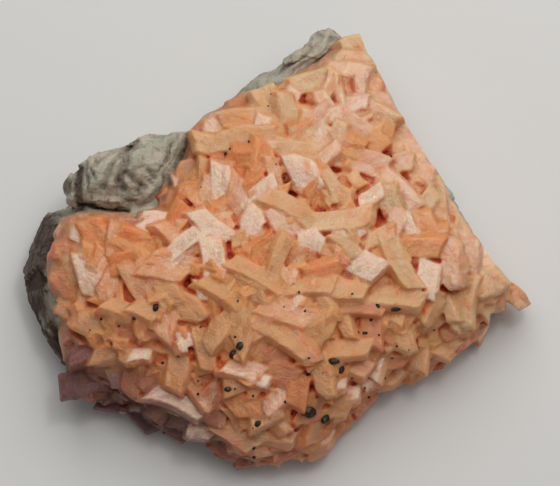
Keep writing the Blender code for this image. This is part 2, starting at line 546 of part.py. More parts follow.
def rock_lump(outline, place, rings, peak, fall):
    """Broken lump of rock around its own core line, lower towards its right side."""
    core = in_view(place[0], place[1], rings[1][0])
    edge = Outline(outline, lambda bearing: rings[2][0], core)
    turns = edge.bearings()

    def level(height):
        return lambda bearing: height - fall * max(0.0, math.cos(bearing)) * height / peak

    layers = [ring(edge, core, turns, share, level(height), 0.0, LUMP_ROUGHNESS) for height, share in rings]
    return lofted(layers, Vector((core.x, core.y, peak)))


def as_object(name, shape):
    """New object from a shape in millimetres."""
    mesh = bpy.data.meshes.new(name)
    bmesh.ops.scale(shape, vec=(METRES, METRES, METRES), verts=shape.verts[:])
    bmesh.ops.recalc_face_normals(shape, faces=shape.faces[:])
    shape.to_mesh(mesh)
    shape.free()
    thing = bpy.data.objects.new(name, mesh)
    bpy.context.scene.collection.objects.link(thing)
    return thing


def make_real(body):
    """Replace the mesh of an object with the result of its modifiers."""
    graph = bpy.context.evaluated_depsgraph_get()
    mesh = bpy.data.meshes.new_from_object(body.evaluated_get(graph))
    body.modifiers.clear()
    body.data = mesh
    mesh.name = body.name


def combined(body, tool, operation):
    """Join a tool to a body or cut it out, and drop the tool."""
    step = body.modifiers.new(operation.lower(), "BOOLEAN")
    step.operation = operation
    step.solver = "EXACT"
    step.use_self = True
    step.object = tool
    make_real(body)
    bpy.data.objects.remove(tool)


def thinned(body, share):
    """Merge the triangles that lie nearly flat until a share of all of them is left."""
    step = body.modifiers.new("thin", "DECIMATE")
    step.ratio = share
    make_real(body)


def connected(seed, unseen):
    """Points joined to a first one by edges, taken out of the unseen ones."""
    shell = [seed]
    front = [seed]
    while front:
        vertex = front.pop()
        for edge in vertex.link_edges:
            other = edge.other_vert(vertex)
            if other in unseen:
                unseen.remove(other)
                shell.append(other)
                front.append(other)
    return shell


def keep_main_shell(thing):
    """Weld stray points and keep the largest closed shell only."""
    shape = bmesh.new()
    shape.from_mesh(thing.data)
    bmesh.ops.remove_doubles(shape, verts=shape.verts[:], dist=WELD)
    bmesh.ops.dissolve_degenerate(shape, edges=shape.edges[:], dist=WELD)
    bmesh.ops.triangulate(shape, faces=shape.faces[:])
    unseen = set(shape.verts)
    shells = []
    for vertex in shape.verts:
        if vertex in unseen:
            unseen.remove(vertex)
            shells.append(connected(vertex, unseen))
    shells.sort(key=len, reverse=True)
    loose = [vertex for shell in shells[1:] for vertex in shell]
    bmesh.ops.delete(shape, geom=loose, context="VERTS")
    shape.to_mesh(thing.data)
    shape.free()


def crystal_block(shape, tip, facing, along, crystal, slant):
    """Add one rhombic crystal: a slightly crowned face with slanted ends, over a smaller foot."""
    across = facing.cross(along)
    bands = 2 if crystal.length > LONG_CRYSTAL or abs(crystal.bow) > STRAIGHT_BOW else 1
    shift = math.tan(math.radians(crystal.skew))
    foot = tip + along * slant[0] + across * slant[1] - facing * CRYSTAL_DEPTH
    corners = []
    for band in range(bands + 1):
        place = -1.0 + 2.0 * band / bands
        half = 0.5 * crystal.width * (1.0 - END_TAPER * place * place)
        middle = along * (0.5 * crystal.length * place) + across * (crystal.bow * (0.5 - place * place))
        if bands > 1:
            middle -= facing * (CROWN * place * place)
        left = middle - (across + along * shift) * half
        right = middle + (across + along * shift) * half
        places = (tip + left, tip + right, foot + left * FOOT_SHARE, foot + right * FOOT_SHARE)
        corners.append([shape.verts.new(point) for point in places])
    for near, far in zip(corners, corners[1:]):
        shape.faces.new((near[0], far[0], far[1], near[1]))
        shape.faces.new((near[3], far[3], far[2], near[2]))
        shape.faces.new((near[2], far[2], far[0], near[0]))
        shape.faces.new((near[1], far[1], far[3], near[3]))
    shape.faces.new((corners[0][0], corners[0][1], corners[0][3], corners[0][2]))
    shape.faces.new((corners[-1][2], corners[-1][3], corners[-1][1], corners[-1][0]))


def view_frame(crystal):
    """Facing and along directions of a crystal placed in the main view."""
    heading = math.radians(crystal.heading)
    pitch = math.radians(crystal.pitch)
    lean = math.radians(crystal.lean)
    flat = math.cos(heading) * VIEW_RIGHT + math.sin(heading) * VIEW_UP
    along = math.cos(pitch) * flat + math.sin(pitch) * TO_EYE
    level = (TO_EYE - TO_EYE.dot(along) * along).normalized()
    across = level.cross(along)
    return math.cos(lean) * level + math.sin(lean) * across, along


def main_blocks(shape):
    """All hand-placed crystals of the crust."""
    chance = random.Random(FLANK_SEED)
    for row in MAIN_CRYSTALS:
        crystal = Crystal(*row)
        facing, along = view_frame(crystal)
        tip = on_crust(crystal.column, crystal.row) + crystal.lift * TO_EYE
        slant = (chance.uniform(-FOOT_SLANT, FOOT_SLANT), chance.uniform(-FOOT_SLANT, FOOT_SLANT))
        crystal_block(shape, tip, facing, along, crystal, slant)


def any_direction(chance):
    """Vector of any direction and up to unit size along each axis."""
    return Vector([chance.uniform(-1.0, 1.0) for _ in range(3)])


def flank_blocks(shape, surface):
    """Crystals that stand outwards on the free flanks, in tiers."""
    chance = random.Random(FLANK_SEED)
    for height, count in FLANK_TIERS:
        for index in range(count):
            share = (index + chance.uniform(0.15, 0.85)) / count
            bearing = math.radians(FLANK_FROM + (FLANK_TO - FLANK_FROM) * share)
            outward = Vector((math.cos(bearing), math.sin(bearing), 0.0))
            level = height + chance.uniform(-FLANK_JITTER, FLANK_JITTER)
            start = Vector((CORE.x, CORE.y, level)) + OUTSIDE * outward
            hit, normal, _, _ = surface.ray_cast(start, -outward)
            facing = (normal + FLANK_SCATTER * any_direction(chance)).normalized()
            along = facing.cross(any_direction(chance)).normalized()
            length = chance.uniform(*FLANK_LENGTHS)
            width = length * chance.uniform(*FLANK_WIDTHS)
            crystal = FLANK_CRYSTAL._replace(length=length, width=width)
            crystal_block(shape, hit + FLANK_STAND * normal, facing, along, crystal, FLANK_SLANT)


def crust_layer():
    """Layer that the crystals grow from, down to the foot of the free flanks."""
    def wall_top(bearing):
        return max(rim_height(bearing) - WALL_DROP, CRUST_FOOT + WALL_DROP)

    def floor(share):
        def height(bearing):
            cover = 0.5 * (shoulder_height(bearing) + ROCK_MIDDLE) + ROCK_COVER
            open_floor = crust_dome(bearing, share) - CREVICE_DEPTH
            return max(open_floor, cover * (1.0 - share), CRUST_FOOT + WALL_DROP)
        return height

    turns = CRUST_EDGE.bearings()
    rings = [
        ring(CRUST_EDGE, CORE, turns, WALL_SHARES[0], lambda bearing: CRUST_FOOT),
        ring(CRUST_EDGE, CORE, turns, WALL_SHARES[1], wall_top),
    ]
    for share in FLOOR_SHARES:
        rings.append(ring(CRUST_EDGE, CORE, turns, share, floor(share), FLOOR_INSET, CRUST_ROUGHNESS))
    return lofted(rings, Vector((CORE.x, CORE.y, CRUST_PEAK - CREVICE_DEPTH)))


def space_below():
    """Block of space under the lowest crystals."""
    shape = bmesh.new()
    bmesh.ops.create_cube(shape, size=1.0)
    bmesh.ops.scale(shape, vec=(SPACE_WIDTH, SPACE_WIDTH, SPACE_HEIGHT), verts=shape.verts[:])
    middle = Vector((0.0, 0.0, REST_CLEARANCE - 0.5 * SPACE_HEIGHT))
    bmesh.ops.translate(shape, vec=middle, verts=shape.verts[:])
    return shape


def grain_shape(shape, centre, axes, sizes, swell):
    """Add one blunt many-sided grain, swollen outwards by an even amount."""
    made = bmesh.ops.create_icosphere(shape, subdivisions=1, radius=1.0)
    for vertex in made["verts"]:
        spot = vertex.co.copy()
        uneven = 1.0 + GRAIN_UNEVENNESS * noise.noise(spot * GRAIN_BUMPS + centre)
        point = centre.copy()
        for axis, size, part in zip(axes, sizes, spot):
            point += axis * (part * (0.5 * size * uneven + swell))
        vertex.co = point


def grain_seats(surface):
    """Centre, axes and sizes of each sulphide grain on the crust."""
    seats = []
    for column, row, heading, length, width, height in GRAINS:
        ray = (in_view(column, row, AIM.z) - EYE - CENTRING).normalized()
        hit, normal, _, _ = surface.ray_cast(EYE + CENTRING, ray)
        turn = math.radians(heading)
        flat = math.cos(turn) * VIEW_RIGHT + math.sin(turn) * VIEW_UP
        along = (flat - flat.dot(normal) * normal).normalized()
        centre = hit + normal * (height * (0.5 - GRAIN_SUNK) - 0.5 * PIECE_GAP)
        seats.append((centre, (along, normal.cross(along), normal), (length, width, height)))
    return seats


def surface_of(thing):
    """Ray-casting surface of an object, in millimetres."""
    points = [vertex.co / METRES for vertex in thing.data.vertices]
    faces = [tuple(face.vertices) for face in thing.data.polygons]
    return BVHTree.FromPolygons(points, faces)


def plain_material(name, colour, roughness, metallic=0.0):
    """Principled material of one colour."""
    material = bpy.data.materials.new(name)
    material.use_nodes = True
    shader = material.node_tree.nodes["Principled BSDF"]
    shader.inputs["Base Color"].default_value = (*colour, 1.0)
    shader.inputs["Roughness"].default_value = roughness
    shader.inputs["Metallic"].default_value = metallic
    material.diffuse_color = (*colour, 1.0)
    return material


def host_rock():
    """Dull pale grey-green rock."""
    return plain_material("host_rock", (0.27, 0.25, 0.20), 0.85)


def dolomite():
    """Satin peach-orange crystals."""
    return plain_material("dolomite", (0.66, 0.36, 0.22), 0.4)


def sulphide():
    """Dark resinous to metallic grains."""
    return plain_material("sulphide", (0.05, 0.035, 0.02), 0.35, 0.7)


def build_rock():
    """Host rock: slab, lump and knob in one solid."""
    rock = as_object("matrix_rock", rock_slab())
    lump = rock_lump(LUMP_OUTLINE, LUMP_PLACE, LUMP_RINGS, LUMP_PEAK, LUMP_FALL)
    knob = rock_lump(KNOB_OUTLINE, KNOB_PLACE, KNOB_RINGS, KNOB_PEAK, KNOB_FALL)
    combined(rock, as_object("lump", lump), "UNION")
    combined(rock, as_object("knob", knob), "UNION")
    keep_main_shell(rock)
    thinned(rock, ROCK_KEPT)
    rock.data.materials.clear()
    rock.data.materials.append(host_rock())
    return rock


def swollen_copy(thing, amount):
    """Copy of an object grown outwards by an even amount."""
    shape = bmesh.new()
    shape.from_mesh(thing.data)
    shape.normal_update()
    moves = [vertex.normal * (vertex.calc_shell_factor() * amount * METRES) for vertex in shape.verts]
    for vertex, move in zip(shape.verts, moves):
        vertex.co += move
    mesh = bpy.data.meshes.new("swollen")
    shape.to_mesh(mesh)
    shape.free()
    copy = bpy.data.objects.new("swollen", mesh)
    bpy.context.scene.collection.objects.link(copy)
    return copy


def build_crust(rock):
    """Dolomite: the layer with every crystal joined to it, fitted over the rock."""
    crust = as_object("dolomite_crust", crust_layer())
    blocks = bmesh.new()
    main_blocks(blocks)
    flank_blocks(blocks, surface_of(crust))
    combined(crust, as_object("crystals", blocks), "UNION")
    combined(crust, as_object("space_below", space_below()), "DIFFERENCE")
    combined(crust, swollen_copy(rock, PIECE_GAP), "DIFFERENCE")
    keep_main_shell(crust)
    thinned(crust, CRUST_KEPT)
    crust.data.materials.clear()
    crust.data.materials.append(dolomite())
    return crust


def build_grains(crust):
    """Sulphide grains, each in its own pocket of the crust."""
    seats = grain_seats(surface_of(crust))
    pockets = bmesh.new()
    for centre, axes, sizes in seats:
        grain_shape(pockets, centre, axes, sizes, PIECE_GAP)
    combined(crust, as_object("pockets", pockets), "DIFFERENCE")
    keep_main_shell(crust)
    material = sulphide()
    for index, (centre, axes, sizes) in enumerate(seats, 1):
        shape = bmesh.new()
        grain_shape(shape, centre, axes, sizes, 0.0)
        grain = as_object(f"sulphide_grain_{index:02d}", shape)
        grain.data.materials.append(material)


def main():
    """Build the whole specimen."""
    for thing in list(bpy.data.objects):
        bpy.data.objects.remove(thing)
    noise.seed_set(ROUGHNESS_SEED)
    rock = build_rock()
    crust = build_crust(rock)
    build_grains(crust)


main()
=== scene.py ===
"""Saddle dolomite hand specimen: the finish of its crystals, its host rock and its sulphide grains.

Lengths are in millimetres until a mesh is made. A place read in the main view is a column and a row.
"""

import math
import random
from collections import namedtuple
from functools import lru_cache

import bmesh
import bpy
import numpy as np
from mathutils import Euler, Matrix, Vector, noise
from mathutils.bvhtree import BVHTree


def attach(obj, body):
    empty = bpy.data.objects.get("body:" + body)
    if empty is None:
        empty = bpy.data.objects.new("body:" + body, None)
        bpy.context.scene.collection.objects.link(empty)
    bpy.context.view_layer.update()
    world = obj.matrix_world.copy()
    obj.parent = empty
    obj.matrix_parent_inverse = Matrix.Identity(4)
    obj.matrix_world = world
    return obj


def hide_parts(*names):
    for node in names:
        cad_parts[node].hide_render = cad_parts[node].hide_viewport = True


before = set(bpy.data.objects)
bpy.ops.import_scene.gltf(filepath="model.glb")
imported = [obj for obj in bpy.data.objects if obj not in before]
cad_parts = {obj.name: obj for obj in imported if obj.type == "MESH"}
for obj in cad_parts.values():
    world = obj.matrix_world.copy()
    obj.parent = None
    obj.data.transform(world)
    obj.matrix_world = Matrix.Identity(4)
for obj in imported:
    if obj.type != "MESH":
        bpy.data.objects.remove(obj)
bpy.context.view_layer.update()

METRES = 0.001
NOISE_SEED = 1

# Main view: it shows 0.25 mm of the specimen in each step of a column or a row
VIEW_ELEVATION = math.radians(80.0)
VIEW_DISTANCE = 700.0
VIEW_COLUMN = 280.0
VIEW_ROW = 243.0
VIEW_STEP = 0.25
VIEW_WIDTH = 560.0
AIM = Vector((0.0, 0.0, 30.0))
CENTRING = Vector((0.5, -2.03, 0.0))
SENSOR = 36.0
VIEW_RIGHT = Vector((1.0, 0.0, 0.0))
VIEW_UP = Vector((0.0, math.sin(VIEW_ELEVATION), math.cos(VIEW_ELEVATION)))
TO_EYE = Vector((0.0, -math.cos(VIEW_ELEVATION), math.sin(VIEW_ELEVATION)))
EYE = AIM + VIEW_DISTANCE * TO_EYE

# Driving dimensions of the crust, as in its solid
CRUST_PEAK = 40.0
CRUST_FOOT = 4.0
CREVICE_DEPTH = 1.6
REST_CLEARANCE = 1.0
ROCK_MIDDLE = 26.0
ROCK_WAIST = 10.0
CRYSTAL_DEPTH = 7.5
DOME_POWER = 2.6
CONTACT_GAP = 0.12

# Outlines in the main view, as places around the specimen
CORE_PLACE = (285.0, 250.0)
OUTLINE_HEIGHT = 14.0
ROCK_OUTLINE = [
    (36, 232), (40, 218), (46, 211), (66, 210), (84, 196), (112, 164), (140, 150), (165, 140),
    (190, 134), (208, 119), (226, 107), (243, 92), (258, 80), (280, 67), (298, 52), (320, 40),
    (344, 42), (358, 52), (371, 73), (387, 101), (405, 133), (425, 161), (441, 179), (455, 200),
    (469, 222), (478, 247), (488, 272), (480, 296), (466, 318), (446, 336), (424, 352),
    (398, 360), (378, 376), (350, 394), (326, 416), (298, 432), (262, 442), (232, 436),
    (206, 424), (180, 412), (158, 398), (132, 388), (108, 378), (84, 376), (62, 362), (50, 344),
    (36, 322), (27, 300), (25, 280), (28, 256),
]
CRUST_OUTLINE = [
    (56, 228), (64, 215), (90, 212), (125, 213), (148, 210), (158, 202), (165, 186), (172, 171),
    (182, 157), (187, 140), (190, 126), (204, 112), (224, 102), (246, 93), (262, 87), (282, 80),
    (300, 67), (318, 58), (330, 46), (346, 37), (362, 38), (370, 52), (384, 74), (396, 100),
    (415, 131), (432, 157), (446, 176), (456, 200), (471, 222), (486, 243), (504, 268), (520, 290),
    (508, 304), (486, 318), (470, 338), (448, 352), (424, 366), (398, 374), (376, 390), (354, 408),
    (334, 430), (304, 448), (262, 458), (228, 452), (204, 436), (176, 424), (150, 412), (122, 400),
    (96, 390), (70, 380), (58, 362), (54, 340), (56, 320), (50, 298), (45, 276), (46, 256),
]

# Heights around the specimen, as bearing in degrees from +X and height
SHOULDER_HEIGHTS = [
    (0, 14), (60, 18), (78, 23), (120, 24), (160, 24), (196, 22), (212, 15), (340, 13), (360, 14),
]
CRUST_RIM_HEIGHTS = [
    (0, 13), (20, 17), (60, 21), (80, 25), (150, 26), (185, 24), (202, 16), (216, 7), (338, 7),
    (360, 13),
]

# Layer that the crystals grow from: its rings, bearings and unevenness
WALL_SHARES = (0.965, 0.998)
WALL_DROP = 2.0
FLOOR_FROM = 0.975
FLOOR_INSET = 0.8
ROCK_COVER = 2.2
LAYER_WALL_RINGS = 7
LAYER_FLOOR_RINGS = 34
LAYER_BEARINGS = 216
LAYER_ROUGHNESS = 0.8
BUMP_SIZE = 9.0
GRANULE_ROUGHNESS = 0.35
GRANULE_SIZE = 1.7


def shade(red, green, blue):
    """Colour from the levels that a screen shows, 0 to 255."""
    levels = [level / 255.0 for level in (red, green, blue)]
    return tuple(level / 12.92 if level <= 0.04045 else ((level + 0.055) / 1.055) ** 2.4 for level in levels)


# Body colours of the crystals, and how much of its own colour a crystal has; the orange is partly a
# painted glow of crystals that sit low or lean away, and the mauve partly painted shade on the low flanks
PEACH = shade(238, 176, 140)
BEIGE = shade(226, 178, 130)
ORANGE = shade(232, 142, 84)
MAUVE = shade(212, 132, 98)
OWN_COLOUR = 0.75

# Colour of the crust as a whole, from its upper right to its low lower left; the low side and the dark
# side colours are painted shade on the low flanks and on the lower left flank
PALE_SIDE = shade(230, 182, 130)
WARM_SIDE = shade(228, 158, 98)
PAINTED_SHADE_LOW = shade(202, 134, 90)
PAINTED_SHADE_LOW_LEFT = shade(110, 74, 66)
BROWN_MARGIN = shade(190, 134, 104)
COLOUR_SPREAD = 0.035
PLATE_SPREAD = 0.02

# Where those colours change: by place in the main view, and by height; the low and dark ones mark where
# the painted shade falls
PALE_LINE = (0.9, 40.0)
PALE_RUN = (-60.0, 230.0)
LOW_HEIGHTS = (22.0, 8.0)
LOW_LEFT_LINE = (0.25, 60.0)
LOW_LEFT_RUN = (290.0, 400.0)
LOW_LEFT_SHARE = 0.8
DARK_HEIGHTS = (17.0, 8.0)
DARK_COLUMNS = (330.0, 180.0)
DARK_SHARE = 0.9
DARK_EDGE = [(52, 352), (66, 384), (110, 402), (150, 420), (190, 436)]
DARK_REACH = (16.0, 56.0)

# Areas of the crust with a painted pearly sheen: place in the main view, reach and how much sheen
PEARLY_AREAS = [
    (355, 90, 60, 0.55), (320, 130, 40, 0.5), (395, 190, 50, 0.5), (445, 230, 45, 0.42),
    (485, 262, 30, 0.5), (420, 150, 36, 0.55), (90, 265, 40, 0.45), (215, 210, 50, 0.42),
    (345, 240, 50, 0.42), (215, 130, 22, 0.6), (470, 330, 30, 0.45), (370, 385, 40, 0.45),
    (265, 440, 40, 0.42), (190, 400, 40, 0.42), (140, 225, 30, 0.42),
]
PEARLY_FADE = (1.2, 0.5)

# Down the sides of a crystal: the heights where its painted pearly sheen ends and where the painted
# orange glow and shade of its sides begin, and how much its colour is dimmed and warmed there
FACE_FADE = (-0.6, -0.1)
SIDE_FADE = (-0.3, -2.6)
PAINTED_SIDE_GLOW = (0.92, 0.72, 0.52)

# Smooth edges of the crust: places along them, how far in they reach, and their crevice depth
BROKEN_EDGE = [(360, 36), (384, 74), (400, 105), (432, 160), (462, 215), (500, 262), (522, 292)]
BROKEN_REACH = (9.0, 30.0)
BROKEN_DEPTH = 0.6
THIN_EDGE = [
    (60, 350), (52, 312), (46, 284), (46, 256), (54, 230), (66, 214), (125, 213), (150, 208), (166, 188),
    (186, 150), (192, 124), (226, 101), (262, 86), (300, 64), (338, 42),
]
THIN_REACH = (6.0, 20.0)
THIN_DEPTH = 1.2
THIN_DROP = 1.8
THIN_SHRINK = 0.35
FLUSH_LEAN = 0.25

# Places where the crystals have grown into one another: place in the main view and reach
GROWN_TOGETHER = [
    (290, 105, 62), (355, 105, 62), (408, 160, 42), (215, 140, 38), (100, 242, 52), (62, 285, 26),
    (440, 205, 36), (476, 245, 26), (125, 235, 30), (190, 185, 20),
]
TOGETHER_DEPTH = 0.8
TOGETHER_LIFT = 0.45
TOGETHER_LEAN = 0.5
TOGETHER_FADE = (1.15, 0.75)

# Deeper crevices between the crystals: place in the main view, reach in view steps and added depth
CREVICE_SHARE = 0.7
CREVICE_RIM = 2.0
CREVICE_FLOOR = 0.4
CREVICES = [
    (345, 83, 11, 3.0), (310, 100, 11, 3.5), (333, 96, 6, 2.5), (210, 157, 14, 2.0), (290, 158, 9, 3.0),
    (291, 187, 9, 3.5), (334, 164, 10, 4.0), (318, 212, 9, 3.0), (384, 153, 10, 4.0), (405, 178, 8, 4.0),
    (356, 201, 7, 3.0), (378, 212, 13, 3.0), (367, 235, 9, 3.0), (375, 258, 9, 3.0), (194, 222, 7, 3.0),
    (169, 244, 7, 2.5), (144, 234, 7, 2.5), (186, 285, 16, 4.0), (237, 282, 8, 3.0), (230, 250, 7, 3.0),
    (325, 237, 7, 3.0), (84, 290, 14, 3.5), (193, 358, 9, 3.5), (221, 321, 9, 3.0), (319, 262, 9, 3.5),
    (351, 315, 9, 3.5), (334, 303, 7, 3.0), (411, 257, 9, 3.0), (437, 317, 10, 4.0), (311, 390, 12, 3.5),
    (285, 418, 8, 3.0), (130, 366, 6, 3.0), (150, 300, 8, 2.5), (246, 345, 9, 3.0), (272, 362, 11, 3.5),
    (262, 392, 8, 3.0), (345, 364, 8, 3.0), (390, 308, 9, 3.0), (420, 330, 9, 3.5), (160, 345, 8, 3.0),
    (125, 333, 9, 3.0), (205, 408, 9, 3.0), (230, 420, 8, 2.5), (320, 355, 7, 3.0), (300, 366, 8, 3.0),
]

# Clean margins of the crust: places along each one, the way out of it, and how it leans in below
Margin = namedtuple("Margin", "line outward lean")
MARGINS = [
    Margin([
        (360, 22), (368, 42), (374, 55), (384, 71), (400, 102), (416, 131), (433, 157), (448, 177),
        (457, 199), (472, 221), (487, 242), (500, 260), (513, 274), (526, 282), (534, 291), (542, 304),
    ], Vector((0.8, 0.6, 0.0)), 0.06),
    Margin([
        (138, 222), (137, 208), (139, 196), (151, 190), (163, 183), (171, 173), (183, 152), (189, 130),
        (204, 113), (226, 101), (244, 92), (262, 87), (284, 79), (302, 65), (320, 55), (331, 45),
        (344, 37), (357, 34), (374, 22),
    ], Vector((-0.66, 0.75, 0.0)), 0.0),
    Margin([(44, 214), (66, 213), (96, 212), (126, 213), (152, 209)], Vector((0.0, 1.0, 0.0)), 0.0),
    Margin([
        (68, 373), (61, 352), (57, 325), (51, 300), (47, 278), (47, 258), (52, 236), (59, 222), (67, 205),
    ], Vector((-1.0, 0.0, 0.0)), 0.0),
    Margin([
        (542, 296), (531, 304), (519, 311), (511, 304), (504, 298), (506, 309), (498, 312), (490, 313),
        (489, 326), (484, 338), (482, 356),
    ], Vector((0.5, -0.87, 0.0)), 0.0),
]
MARGIN_HEIGHTS = (-4.0, 50.0)
MARGIN_STEP = 1.2
MARGIN_DEPTH = 70.0
MARGIN_ROUGHNESS = 0.4
MARGIN_RIB = 2.4
